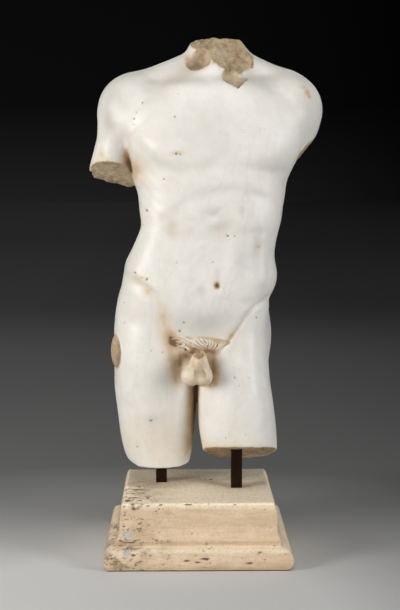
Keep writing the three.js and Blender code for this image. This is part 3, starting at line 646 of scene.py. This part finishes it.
# Grey weathering, in the same way. Over the collarbones, in the belly's grooves and dips, low on the belly and on its
# left side, the grey is painted shade.
GREYED_AND_SHADED = [
    (-152, 757, 10, 22, 0.75), (-146, 795, 30, 30, 0.50), (-60, 842, 60, 16, 0.45), (14, 892, 26, 10, 1.0),
    (130, 832, 60, 16, 0.45), (192, 776, 22, 46, 0.60), (10, 412, 60, 24, 0.55), (-20, 841, 16, 10, 0.5),
    (30, 600, 14, 8, 0.45), (75, 600, 6, 11, 0.40), (40, 574, 26, 10, 0.40), (-44, 570, 12, 11, 0.45),
    (6, 468, 8, 8, 0.50), (102, 540, 8, 20, 0.40), (112, 505, 18, 50, 0.30), (88, 522, 28, 34, 0.40), (-82, 240, 16, 10, 0.40),
    (-60, 270, 60, 60, 0.18), (30, 745, 90, 60, 0.22), (80, 250, 40, 60, 0.10), (40, 640, 80, 14, 0.12),
    (20, 556, 70, 8, 0.22), (33, 494, 6, 12, 0.3), (-30, 585, 30, 14, 0.15),
]


def in_the_hair(p):
    """1 over the carved curls, 0 elsewhere."""
    x, y, z = p.T
    top = 388 - 0.0035 * (x - 5) ** 2 * (x > 5)
    bottom = 353 + np.abs(x - 1) * 0.42
    return rise((z - bottom + 3) / 4) * rise((top - z + 2) / 4) * rise((56 - np.abs(x - 3)) / 6) * (y < -20)


def fine_carving(p):
    """The curls, their drill holes and the small pits: how far they lift the surface."""
    lift = np.zeros(len(p))
    near = (p[:, 1] < -30) & (p[:, 2] > 345) & (p[:, 2] < 396) & (np.abs(p[:, 0] - 3) < 60)
    x, z = p[near, 0], p[near, 2]
    curls = np.full(len(x), -0.6)
    for path, width, height in LOCKS:
        away, _, along = beside(x, z, path)
        crest = height * np.exp(-((away / width) ** 2)) * (0.55 + 0.45 * rise(np.minimum(along, 1 - along) / 0.3))
        curls = np.maximum(curls, crest - 0.6)
    for hx, hz, radius in DRILLED:
        curls -= 2.4 * np.exp(-((np.hypot(x - hx, z - hz) / radius) ** 2))
    lift[near] = curls * in_the_hair(p[near])
    for px, pz, radius, depth, _ in PITS:
        away = np.hypot(p[:, 0] - px, p[:, 2] - pz)
        lift -= depth * np.exp(-((away / radius) ** 2)) * (p[:, 1] < 0)
    return lift


def wanted_edge(p):
    """How long the edges of the mesh may be: short where there is fine carving."""
    x, y, z = p.T
    length = np.where(y < 0, 3.2, 5.2)
    groin = (y < -25) & (z > 298) & (z < 394) & (np.abs(x - 2) < 58)
    length[groin] = 2.3
    hair = groin & (z > 350)
    length[hair] = 1.15
    body = armless(p)
    broken = breaks(p, body)
    skin = unbroken(p, body)
    length = np.where((broken > -1.5) & (skin < 4), np.minimum(length, 2.0), length)
    for px, pz, radius, _, _ in PITS:
        length = np.where((np.hypot(x - px, z - pz) < 2 * radius) & (y < 0), np.minimum(length, 1.3), length)
    length = np.where((np.hypot(x - 32, z - 476) < 12) & (y < 0), np.minimum(length, 1.8), length)
    return length


def carve_torso():
    near_gap = 24
    grids = [
        np.concatenate([spaced(-207, -near_gap, 7.5), spaced(-near_gap, near_gap, 3)[1:], spaced(near_gap, 237, 7.5)[1:]]),
        spaced(-142, 158, 7.5),
        spaced(126, 924, 7.5),
    ]
    points = np.stack(np.meshgrid(*grids, indexing="ij"), axis=-1)
    value = marble(points.reshape(-1, 3)).reshape(points.shape[:-1])
    vertices, quads = surface_net(value, grids)
    for _ in range(3):
        vertices = onto_surface(marble, relaxed(vertices, quads, 0.5), 4)
    shorter = (np.linalg.norm(vertices[quads[:, 0]] - vertices[quads[:, 2]], axis=1)
               <= np.linalg.norm(vertices[quads[:, 1]] - vertices[quads[:, 3]], axis=1))[:, None]
    a, b, c, d = (quads[:, [i]] for i in range(4))
    triangles = np.concatenate([
        np.where(shorter, np.hstack([a, b, c]), np.hstack([a, b, d])),
        np.where(shorter, np.hstack([a, c, d]), np.hstack([b, c, d])),
    ])
    rounds = 3
    for _ in range(rounds):
        vertices, triangles = refined(vertices, triangles, wanted_edge)
        vertices = onto_surface(marble, relaxed(vertices, triangles, 0.3), 2)
    vertices = onto_surface(marble, vertices, 1)
    _, slope = value_and_slope(marble, vertices)
    normals = slope / np.linalg.norm(slope, axis=1)[:, None]
    return vertices, triangles, normals


def wear_of(p, normals):
    """Facts for the marble's finish: where it is broken, where earth and painted shade darken it, how grey it is, and
    the dirt in its pits.
    """
    x, y, z = p.T
    body = armless(p)
    broken = rise((-unbroken(p, body) - 0.5) / 1.6)
    strut = rise((1.2 - strut_stump(p)) / 1.5) * (x < -126)
    scar = rise((-101.5 - y) / 2.5) * rise((z - 320) / 5) * rise((352 - z) / 5) * (np.abs(x - 2.5) < 10)
    # How enclosed each spot is, near and far. With the depth of the body's grooves this darkens the colour as painted
    # shade in hollows, creases and grooves, mixed with the earth that lies there.
    hollow = np.zeros(len(p))
    for distance in (5, 12, 28):
        hollow += np.clip(1 - marble(p + normals * distance) / distance, 0, 1) / 3
    crevice = np.clip(1 - marble(p + normals * 2.5) / 2.5, 0, 1)
    soil = 0.34 * rise((hollow - 0.12) / 0.6) + 0.55 * rise((crevice - 0.25) / 0.6) + 0.03 * modelling(p)[1]
    front = rise((20 - y) / 40)
    for at_x, at_z, half_x, half_z, amount in SOILED_AND_SHADED:
        soil += amount * np.exp(-(((x - at_x) / half_x) ** 2 + ((z - at_z) / half_z) ** 2)) * front
    parts = rise((2 - genitals(p)) / 2)
    soil = soil * (1 - 0.4 * parts) + 0.20 * parts
    # The recesses between the curls go darker than their crests: dirt in the drill work and painted shade.
    soil += (0.14 + 0.30 * np.clip(0.2 - fine_carving(p), 0, 1.6)) * in_the_hair(p)
    greyed = np.zeros(len(p))
    for at_x, at_z, half_x, half_z, amount in GREYED_AND_SHADED:
        greyed += amount * np.exp(-(((x - at_x) / half_x) ** 2 + ((z - at_z) / half_z) ** 2)) * front
    greyed = np.maximum(greyed, 0.25 * (1 - front))
    pitted = np.zeros(len(p))
    for px, pz, radius, _, dark in PITS:
        pitted += dark * np.exp(-((np.hypot(x - px, z - pz) / radius / 1.1) ** 2)) * (y < 0)
    return dict(broken=np.maximum(broken, np.maximum(strut, 0.85 * scar)), soil=soil + STRUT_SOIL * strut,
                greyed=greyed, pitted=pitted)


def mesh_piece(name, vertices, triangles):
    mesh = bpy.data.meshes.new(name)
    mesh.from_pydata((vertices * MM).tolist(), [], triangles.tolist())
    mesh.validate()
    mesh.update()
    piece = bpy.data.objects.new(name, mesh)
    bpy.context.collection.objects.link(piece)
    mesh.shade_smooth()
    return piece


def add_facts(piece, facts):
    """Numbers for each vertex, for the finish to read."""
    for name, values in facts.items():
        layer = piece.data.attributes.new(name, "FLOAT", "POINT")
        layer.data.foreach_set("value", np.asarray(values, np.float32))


carved, torso_triangles, outward = carve_torso()
torso = mesh_piece("carved_torso", carved + outward * fine_carving(carved)[:, None], torso_triangles)
add_facts(torso, wear_of(carved, outward))


# ================================================================ the plinth

# The moulding of one side, from the top slab to the floor: distance from the middle and height. The fillet's
# sharp lower edge parts the two runs.
PLINTH_TOP = 110.5
PLINTH_UPPER = [(124.6, 110.5), (127.6, 109.2), (130.4, 105.2), (132.5, 100.2), (133.8, 93.5), (134.1, 80), (134.3, 68),
                (136.2, 56.5), (139.4, 50.6), (142.4, 48.2)]
PLINTH_LOWER = [(142.4, 47.2), (140.2, 42.5), (140.6, 38.8), (147.5, 37.2), (154.4, 33.2), (158.6, 27), (160.3, 17.8),
                (159.3, 9.0), (154.5, 1.6), (152.5, 0)]
FILLER = [(-120, -136, 58, 9), (-121, -156, 32, 10)]  # grey mortar: a place and a radius
STAINED = [(-51, -134, 95, 12, 5), (106, -134, 83, 24, 4), (140, -158, 12, 20, 4), (84, -158, 15, 12, 4),
           (103, -152, 33, 12, 3), (-98, 24, 110, 26, 60), (-110, -60, 110, 18, 40)]


def even_steps(points, step):
    """Points at even steps along a smooth line, without the first."""
    path = rounded_path(points, 12)
    along = np.concatenate([[0], np.cumsum(np.linalg.norm(np.diff(path, axis=0), axis=1))])
    stops = np.linspace(0, along[-1], round(along[-1] / step) + 1)[1:]
    return [(np.interp(stop, along, path[:, 0]), np.interp(stop, along, path[:, 1])) for stop in stops]


def clear_selection():
    if bpy.context.mode != "OBJECT":
        bpy.ops.object.mode_set(mode="OBJECT")
    bpy.ops.object.select_all(action="DESELECT")


def moulded_block():
    """A grid for the top, whose rim is drawn out and down, ring by ring, along the moulding."""
    step = 2.0
    half = PLINTH_UPPER[0][0]
    cells = round(2 * half / (1.06 * step))
    clear_selection()
    bpy.ops.mesh.primitive_grid_add(x_subdivisions=cells, y_subdivisions=cells, size=2 * half * MM,
                                    location=(0, 0, PLINTH_TOP * MM))
    block = bpy.context.object
    block.name = "travertine_plinth"
    bpy.ops.object.transform_apply(location=True, rotation=True, scale=True)
    bpy.ops.object.mode_set(mode="EDIT")
    bpy.ops.mesh.select_mode(type="EDGE")
    bpy.ops.mesh.select_all(action="DESELECT")
    bpy.ops.mesh.select_non_manifold()
    height = PLINTH_TOP
    for wide, low in even_steps(PLINTH_UPPER, step) + [PLINTH_LOWER[0]] + even_steps(PLINTH_LOWER, step):
        bpy.ops.mesh.extrude_edges_move(TRANSFORM_OT_translate={"value": (0, 0, (low - height) * MM)})
        bpy.ops.transform.resize(value=(wide / half, wide / half, 1), center_override=(0, 0, low * MM))
        half, height = wide, low
    bpy.ops.mesh.edge_face_add()
    bpy.ops.mesh.select_all(action="SELECT")
    bpy.ops.mesh.normals_make_consistent(inside=False)
    bpy.ops.object.mode_set(mode="OBJECT")
    return block


def vertices_of(piece, kind="co"):
    numbers = np.empty(len(piece.data.vertices) * 3)
    if kind == "co":
        piece.data.vertices.foreach_get("co", numbers)
    else:
        piece.data.vertex_normals.foreach_get("vector", numbers)
    return numbers.reshape(-1, 3)


def weather_travertine(block):
    """Worn arrises, chips, and the flat holes that lie in the beds of the stone; also a painted shadow along the foot
    and painted light on the faces that look up.
    """
    p = vertices_of(block) / MM
    normals = vertices_of(block, "normal")
    random = np.random.default_rng(21)
    x, y, z = p.T
    loss = 0.35 * (1 + ROUGH(p, 30)) + 0.2 * ROUGH(p + 70, 8)
    arris = np.abs(np.abs(x) - np.abs(y)) * (z < PLINTH_TOP - 3) + 40 * (z > PLINTH_TOP - 3)
    loss += (1.0 + 0.8 * ROUGH(p + 20, 11)) * np.exp(-((arris / 2.6) ** 2))
    left = rise((-x - 40) / 80)
    ragged = rise(0.5 + 1.6 * ROUGH(p + 9, 9)) * left * np.exp(-(((z - 105) / 7) ** 2))
    loss += 3.0 * ragged * rise((-y + 40) / 60)
    void = 0.5 * ragged
    weight = 0.03 + 1.6 * left * (y < 0) + 0.3 * (z < 40) + 0.3 * ((z > 96) & (z < PLINTH_TOP - 1))
    weight *= (z > 3) * np.where(z > PLINTH_TOP - 0.5, 0.35, 1.0)
    places = p[random.choice(len(p), 460, replace=False, p=weight / weight.sum())]
    named = [(-110, -139, 47, 4.5, 2.6, 4.0), (-70, -138, 49, 3.6, 2.4, 3.6), (-109, -156, 29, 3.6, 2.2, 3.2),
             (-64, -128, 109, 3, 1.8, 2.6), (-20, -128, 109, 4.5, 1.8, 2.6), (-13, -128, 109, 2.5, 1.6, 2.2),
             (62, -128, 109, 2.6, 1.6, 2.2), (10, -159, 23, 9, 1.8, 2.4), (-20, -159, 20, 7, 1.6, 2.2),
             (-2, -160, 17, 6, 1.6, 2.2), (84, -159, 15, 8, 1.8, 1.8), (103, -152, 33, 5, 1.6, 2.2),
             (-104, -28, 110, 12, 4, 3.0), (-112, -84, 110, 9, 5, 3.2), (-124, -100, 109, 6, 6, 3.4)]
    shapes = [((px, py, pz), (a, b if pz > 108 else a, b), deep) for px, py, pz, a, b, deep in named]
    for place in places:
        size = random.uniform(0.7, 1.0) ** 2 * (1 + 1.2 * random.random() ** 5)
        shapes.append((place, (2.6 * size, 2.6 * size, random.uniform(1.0, 1.6)), random.uniform(0.6, 2.0)))
    for place, radii, deep in shapes:
        q = (p - np.array(place, float)) / np.array(radii, float)
        hole = np.exp(-(q * q).sum(axis=1))
        loss += deep * hole
        void += min(deep / 2.2, 1.2) * hole
    # A painted shadow along the foot, where the plinth meets the floor.
    void += 1.3 * rise((2.6 - z) / 1.6)
    loss *= rise((z - 0.2) / 2)
    block.data.vertices.foreach_set("co", ((p - normals * loss[:, None]) * MM).ravel())
    block.data.update()
    filler = np.zeros(len(p))
    for fx, fy, fz, radius in FILLER:
        filler += np.exp(-((p - (fx, fy, fz)) ** 2).sum(axis=1) / radius**2)
    stain = np.zeros(len(p))
    for sx, sy, sz, half_x, half_z in STAINED:
        stain += np.exp(-(((x - sx) / half_x) ** 2 + ((z - sz) / half_z) ** 2 + ((y - sy) / 30) ** 2))
    grime = rise((-x - 20) / 80) * rise(0.45 + 1.3 * ROUGH(p + 31, 26)) * rise((60 - y) / 60) * (0.5 + 0.5 * rise((80 - z) / 40))
    # Painted light: the top, the upper moulding and the top of the torus are lighter, as if lit from above.
    bleached = rise((z - PLINTH_TOP + 4) / 3) + 0.5 * rise((z - 98) / 8) + 0.6 * rise((z - 30) / 5) * (z < 39)
    add_facts(block, dict(void=void, filler=filler, stain=stain, grime=grime, bleached=bleached))


plinth = moulded_block()
weather_travertine(plinth)
clear_selection()
plinth.select_set(True)
bpy.context.view_layer.objects.active = plinth
bpy.ops.object.shade_smooth_by_angle(angle=math.radians(38))


# ================================================================ the two bars

def square_bar(node):
    """A square bar with softened arrises, slightly uneven as a forged bar is."""
    low, high = (np.array(corner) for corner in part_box(node))
    clear_selection()
    bpy.ops.mesh.primitive_cube_add(size=1, location=(low + high) / 2, scale=high - low)
    bar = bpy.context.object
    bar.name = node.replace("support", "dark")
    bpy.ops.object.transform_apply(location=True, rotation=True, scale=True)
    bpy.ops.object.mode_set(mode="EDIT")
    bpy.ops.mesh.select_all(action="SELECT")
    bpy.ops.mesh.bevel(offset=0.0011, segments=2, affect="EDGES")
    bpy.ops.mesh.select_all(action="SELECT")
    bpy.ops.mesh.subdivide(number_cuts=5)
    bpy.ops.mesh.normals_make_consistent(inside=False)
    bpy.ops.object.mode_set(mode="OBJECT")
    p = vertices_of(bar) / MM
    normals = vertices_of(bar, "normal")
    bar.data.vertices.foreach_set("co", ((p - normals * (0.15 + 0.15 * ROUGH(p, 13))[:, None]) * MM).ravel())
    bpy.ops.object.shade_smooth_by_angle(angle=math.radians(38))
    return bar


BARS = ("support_bar_right_leg", "support_bar_left_leg")
bars = [square_bar(node) for node in BARS]


# ================================================================ finishes

class Value:
    """A shader socket that takes part in Python arithmetic."""

    def __init__(self, finish, socket):
        self.finish = finish
        self.socket = socket

    def maths(self, operation, *values):
        return self.finish.node("ShaderNodeMath", {"operation": operation}, dict(enumerate(values)))

    def __add__(self, other):
        return self.maths("ADD", self, other)

    def __radd__(self, other):
        return self.maths("ADD", other, self)

    def __sub__(self, other):
        return self.maths("SUBTRACT", self, other)

    def __rsub__(self, other):
        return self.maths("SUBTRACT", other, self)

    def __mul__(self, other):
        return self.maths("MULTIPLY", self, other)

    def __rmul__(self, other):
        return self.maths("MULTIPLY", other, self)


class Finish:
    """A material as it is put together."""

    def __init__(self, name, **shader):
        self.material = bpy.data.materials.new(name)
        self.material.use_nodes = True
        self.tree = self.material.node_tree
        self.shader = self.tree.nodes["Principled BSDF"]
        self.fill(self.shader, shader)
        self.place = self.node("ShaderNodeTexCoord", {}, {}, out="Object")

    def fill(self, node, sockets):
        for key, value in sockets.items():
            socket = node.inputs[key.replace("_", " ")] if isinstance(key, str) else node.inputs[key]
            if isinstance(value, Value):
                self.tree.links.new(value.socket, socket)
            elif socket.type == "RGBA" and len(value) == 3:
                socket.default_value = (*value, 1)
            else:
                socket.default_value = value

    def node(self, kind, settings, sockets, out=0):
        node = self.tree.nodes.new(kind)
        for key, value in settings.items():
            if key == "stops":
                while len(node.color_ramp.elements) < len(value):
                    node.color_ramp.elements.new(0.5)
                for element, (position, shade) in zip(node.color_ramp.elements, value):
                    element.position = position
                    element.color = (shade, shade, shade, 1)
            else:
                setattr(node, key, value)
        self.fill(node, sockets)
        return Value(self, node.outputs[out])

    def stretched(self, x, y, z, turn=(0, 0, 0)):
        return self.node("ShaderNodeMapping", {}, {"Vector": self.place, "Scale": (x, y, z), "Rotation": turn})

    def noise(self, scale, detail=4.0, rough=0.55, twist=0.0, at=None):
        return self.node("ShaderNodeTexNoise", {}, {"Vector": at or self.place, "Scale": scale, "Detail": detail,
                                                    "Roughness": rough, "Distortion": twist})

    def specks(self, scale, at=None):
        return self.node("ShaderNodeTexVoronoi", {}, {"Vector": at or self.place, "Scale": scale}, out="Distance")

    def ramp(self, value, *stops):
        return self.node("ShaderNodeValToRGB", {"stops": stops}, {0: value})

    def step(self, value, low, high):
        """0 below one value, 1 above another."""
        return self.ramp(value, (low, 0.0), (high, 1.0))

    def fact(self, name):
        return self.node("ShaderNodeAttribute", {"attribute_name": name}, {}, out="Fac")

    def mix(self, amount, a, b, way="MIX"):
        return self.node("ShaderNodeMix", {"data_type": "RGBA", "blend_type": way}, {0: amount, 6: a, 7: b}, out=2)

    def bump(self, height, distance, strength=1.0, after=None):
        sockets = {"Height": height, "Distance": distance, "Strength": strength}
        return self.node("ShaderNodeBump", {}, sockets | ({"Normal": after} if after else {}))

    def drives(self, **sockets):
        self.fill(self.shader, sockets)
        return self.material


def weathered_marble():
    m = Finish("weathered_marble", Subsurface_Weight=0.18, Subsurface_Scale=0.008, Specular_IOR_Level=0.55,
               Subsurface_Radius=(1.0, 0.75, 0.5))
    broken = m.fact("broken")
    clouds = m.step(m.noise(9, 6, 0.6, 0.5), 0.35, 0.72)
    mottle = m.step(m.noise(46, 5, 0.65), 0.42, 0.75)
    colour = m.mix(clouds * 0.6, (0.83, 0.805, 0.755), (0.765, 0.735, 0.675))
    colour = m.mix(mottle * 0.5, colour, (0.70, 0.66, 0.585))
    vein = m.ramp(m.noise(4.5, 7, 0.62, 1.6, at=m.stretched(1, 1, 0.55, (0.4, 0.3, 0.7))), (0.47, 0.0), (0.5, 1.0), (0.53, 0.0))
    colour = m.mix(vein * 0.10, colour, (0.40, 0.39, 0.38))
    # Grey from weathering, and painted shade where the grey spots lie in hollows, grooves and dips.
    greying_and_shade = m.fact("greyed") * (0.55 + m.noise(24, 6, 0.7))
    colour = m.mix(m.step(greying_and_shade, 0.05, 0.95) * 0.75, colour, (0.46, 0.44, 0.40))
    patchy = (m.noise(34, 6, 0.68) - 0.5) * 1.5 + (m.noise(9, 3, 0.5) - 0.5) * 0.7
    # Earth and painted shade: where either is strong the marble goes pale tan, then tan, then dark brown.
    soil = m.fact("soil") * (1 + patchy) + patchy * 0.07
    colour = m.mix(m.step(soil, 0.03, 0.34) * 0.9, colour, (0.70, 0.555, 0.385))
    colour = m.mix(m.step(soil, 0.22, 0.62) * 0.85, colour, (0.42, 0.275, 0.145))
    colour = m.mix(m.step(soil, 0.55, 1.0) * 0.85, colour, (0.12, 0.062, 0.028))
    dots = m.step(0.5 - m.specks(150), 0.30, 0.44) * m.step(m.noise(16, 3, 0.5), 0.50, 0.66)
    colour = m.mix(dots * 0.4, colour, (0.38, 0.29, 0.19))
    crust = m.mix(m.step(m.noise(75, 7, 0.7), 0.36, 0.64), (0.27, 0.175, 0.095), (0.62, 0.475, 0.30))
    crust = m.mix(m.step(m.noise(26, 4, 0.6), 0.44, 0.62) * 0.5, crust, (0.72, 0.60, 0.43))
    crust = m.mix(m.step(soil, 0.2, 0.8) * 0.8, crust, m.mix(m.step(m.noise(60, 6, 0.7), 0.4, 0.6), (0.12, 0.07, 0.036), (0.30, 0.195, 0.11)))
    crust = m.mix(m.step(greying_and_shade, 0.4, 0.9) * 0.8, crust, (0.22, 0.20, 0.17))
    colour = m.mix(broken, colour, crust)
    pitted = m.step(m.fact("pitted") + (m.noise(240, 3, 0.7) - 0.5) * 1.1, 0.35, 0.85)
    colour = m.mix(pitted * 0.8, colour, (0.14, 0.095, 0.06))
    rough = 0.36 + m.step(m.noise(30, 5, 0.6), 0.3, 0.7) * 0.12 + broken * 0.35 + m.step(soil, 0.1, 0.8) * 0.2
    grain = m.bump(m.noise(700, 3, 0.6), 0.0002, 0.3)
    grain = m.bump(m.noise(60, 5, 0.6), 0.0006, 0.25, grain)
    grain = m.bump(m.noise(210, 6, 0.75) * broken, 0.0022, 1.0, grain)
    return m.drives(Base_Color=colour, Roughness=rough, Normal=grain)


def travertine():
    m = Finish("travertine", Specular_IOR_Level=0.3)
    void, filler = m.fact("void"), m.fact("filler")
    beds = m.noise(5, 5, 0.6, 0.35, at=m.stretched(1, 1, 9, (0.02, -0.03, 0)))
    fine_beds = m.noise(14, 5, 0.65, 0.5, at=m.stretched(1, 1, 11, (0.02, -0.03, 0)))
    colour = m.mix(m.step(beds, 0.34, 0.66), (0.76, 0.59, 0.41), (0.62, 0.46, 0.305))
    colour = m.mix(m.step(fine_beds, 0.5, 0.68) * 0.55, colour, (0.50, 0.355, 0.225))
    colour = m.mix(m.step(m.noise(34, 4, 0.6), 0.5, 0.7) * 0.35, colour, (0.86, 0.72, 0.54))
    # Painted light on the faces that look up.
    colour = m.mix(m.step(m.fact("bleached"), 0.0, 1.0), colour, (1.0, 0.88, 0.68))
    colour = m.mix(m.step(m.noise(250, 5, 0.7), 0.48, 0.66) * 0.45, colour, (0.50, 0.36, 0.23))
    colour = m.mix(m.fact("grime") * m.step(m.noise(60, 6, 0.7), 0.36, 0.62) * 0.8, colour, (0.27, 0.185, 0.11))
    colour = m.mix(m.fact("stain") * m.step(m.noise(22, 5, 0.6), 0.35, 0.6) * 0.6, colour, (0.50, 0.33, 0.17))
    pores = m.step(m.noise(110, 4, 0.62, 0.4, at=m.stretched(1, 1, 1.8)) + m.fact("grime") * 0.08, 0.63, 0.69)
    pores = pores * m.step(m.noise(11, 3, 0.5, at=m.stretched(1, 1, 3)) + m.fact("grime") * 0.5, 0.48, 0.66)
    # Holes and the painted shadow along the foot go dark brown.
    dark = m.step(void + (m.noise(90, 4, 0.6) - 0.5) * 0.35, 0.24, 0.70)
    colour = m.mix(pores * 0.6, colour, (0.24, 0.15, 0.085))
    colour = m.mix(dark * 0.92, colour, (0.10, 0.06, 0.035))
    colour = m.mix(m.step(filler + (m.noise(120, 3, 0.6) - 0.5) * 0.5, 0.4, 0.8) * 0.75, colour, (0.46, 0.47, 0.48))
    rough = 0.62 + m.step(m.noise(40, 4, 0.6), 0.3, 0.7) * 0.16
    relief = m.bump(m.noise(230, 4, 0.7), 0.0006, 0.5)
    relief = m.bump(1 - pores, 0.0016, 0.9, relief)
    return m.drives(Base_Color=colour, Roughness=rough, Normal=relief)


def dark_bar_metal():
    m = Finish("dark_bar_metal", Metallic=0.85, Specular_IOR_Level=0.5)
    streaks = m.noise(40, 5, 0.6, at=m.stretched(1, 1, 0.15))
    colour = m.mix(m.step(streaks, 0.35, 0.65), (0.012, 0.006, 0.004), (0.042, 0.018, 0.010))
    colour = m.mix(m.step(m.noise(150, 4, 0.7), 0.6, 0.75) * 0.4, colour, (0.010, 0.007, 0.006))
    rough = 0.26 + m.step(m.noise(70, 4, 0.6), 0.35, 0.7) * 0.2
    return m.drives(Base_Color=colour, Roughness=rough, Normal=m.bump(streaks, 0.0004, 0.4))


def finish_piece(piece, material, node):
    piece.data.materials.clear()
    piece.data.materials.append(material)
    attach(piece, "root")
    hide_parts(node)


finish_piece(torso, weathered_marble(), "torso")
finish_piece(plinth, travertine(), "plinth")
bar_metal = dark_bar_metal()
for bar, node in zip(bars, BARS):
    finish_piece(bar, bar_metal, node)


# ================================================================ stage, lights and camera

def studio_floor():
    """A pale floor painted with a pool of light that falls off softly into the dark, darker towards +x, which also
    glows faintly behind the plinth as painted light.
    """
    f = Finish("floor_with_painted_light", Roughness=0.85, Specular_IOR_Level=0.15, Emission_Strength=1.0)
    centre = f.node("ShaderNodeMapping", {}, {"Vector": f.place, "Location": (0.1, 0.35, 0)})
    away = f.node("ShaderNodeVectorMath", {"operation": "LENGTH"}, {0: centre}, out="Value")
    # Painted light: the floor's colour falls from pale to dark with the distance from a spot near the plinth.
    shade = f.node("ShaderNodeValToRGB", {"stops": FLOOR_STOPS}, {0: away * 0.2})
    colour = f.mix(shade, (0.02, 0.02, 0.02), (0.88, 0.87, 0.87))
    back = f.node("ShaderNodeSeparateXYZ", {}, {"Vector": f.place}, out="Y")
    across = f.node("ShaderNodeSeparateXYZ", {}, {"Vector": f.place}, out="X")
    side = f.ramp(across * 0.1 + 0.5, (0.0, 1.0), (0.42, 1.0), (0.58, 0.6), (1.0, 0.28))
    # Painted light: the colour darkens towards +x, and the floor glows faintly behind the plinth.
    plane("floor", 50, f.drives(Base_Color=colour * f.ramp(across * 0.5 + 0.5, (0.1, 1.0), (0.9, 0.62)),
                                Emission_Color=side * f.ramp(back * 0.04, *GLOW_STOPS)))


def backdrop():
    """A dark wall far behind that glows faintly as painted light, a little lighter towards the floor and darker towards
    +x.
    """
    b = Finish("backdrop_with_painted_glow", Roughness=1.0, Specular_IOR_Level=0.0, Base_Color=(0, 0, 0), Emission_Strength=1.0)
    across = b.node("ShaderNodeSeparateXYZ", {}, {"Vector": b.place}, out="X")
    up = b.node("ShaderNodeSeparateXYZ", {}, {"Vector": b.place}, out="Y")
    side = b.ramp(across * 0.1 + 0.5, (0.0, 1.0), (0.5, 0.9), (1.0, 0.22))
    # Painted light: the wall glows, a little more near the floor and less towards +x.
    wall = plane("backdrop", 50, b.drives(Emission_Color=side * b.ramp(up * BACKDROP_UP, *BACKDROP_STOPS)))
    bpy.ops.transform.rotate(value=math.pi / 2, orient_axis="X", center_override=(0, 0, 0))
    bpy.ops.transform.translate(value=(0, 25, 0))


def plane(name, size, material):
    clear_selection()
    bpy.ops.mesh.primitive_plane_add(size=size, location=(0, 0, 0))
    sheet = bpy.context.object
    sheet.name = name
    sheet.data.materials.append(material)
    return sheet


# The floor's painted pool of light and its painted glow, by distance.
FLOOR_STOPS = ((0.0, 1.0), (0.06, 1.0), (0.11, 0.62), (0.2, 0.26), (0.4, 0.12), (1.0, 0.0))
GLOW_STOPS = ((0.0, 0.0), (0.02, 0.01), (0.06, 0.033), (0.16, 0.027), (0.4, 0.018), (1.0, 0.0135))
# The backdrop's painted glow, by height.
BACKDROP_STOPS = ((0.0, 0.0135), (0.1, 0.0085), (0.2, 0.0035), (0.6, 0.0026))
BACKDROP_UP = -0.1
studio_floor()
backdrop()

world = bpy.data.worlds.new("studio")
bpy.context.scene.world = world
world.use_nodes = True
world.node_tree.nodes["Background"].inputs["Color"].default_value = (0.97, 0.98, 1.0, 1)
world.node_tree.nodes["Background"].inputs["Strength"].default_value = 0.003


def soft_light(name, place, target, size, power, colour=(1, 1, 1)):
    light = bpy.data.lights.new(name, "AREA")
    light.shape = "RECTANGLE"
    light.size, light.size_y = size
    light.energy = power
    light.color = colour
    lamp = bpy.data.objects.new(name, light)
    bpy.context.collection.objects.link(lamp)
    lamp.location = place
    lamp.rotation_euler = (Vector(target) - Vector(place)).to_track_quat("-Z", "Y").to_euler()


soft_light("left", (-2.5, -1.5, 0.9), (0, 0, 0.45), (1.0, 1.8), 70, (1.0, 0.985, 0.955))
soft_light("right", (2.5, -1.7, 0.9), (0, 0, 0.5), (1.0, 1.8), 54, (0.985, 0.99, 1.0))
soft_light("over the front", (0, -0.9, 1.9), (0, 0, 0.5), (1.2, 0.6), 8, (1.0, 0.99, 0.97))
soft_light("by the camera", (-0.25, -2.7, 0.95), (0, 0, 0.6), (0.25, 0.25), 4, (1.0, 0.99, 0.97))
soft_light("back", (0.2, 3.2, 1.9), (0, 0, 0.5), (2.4, 1.6), 14, (1.0, 0.99, 0.97))

camera_data = bpy.data.cameras.new("camera")
camera_data.lens = 76.72
camera_data.sensor_width = 36
camera = bpy.data.objects.new("camera", camera_data)
bpy.context.collection.objects.link(camera)
camera.location = (-0.0317, -2.2833, 0.6731)
camera.rotation_euler = (math.pi / 2 - 0.104, 0, -0.0158)
bpy.context.scene.camera = camera
bpy.context.scene.view_settings.view_transform = "Standard"
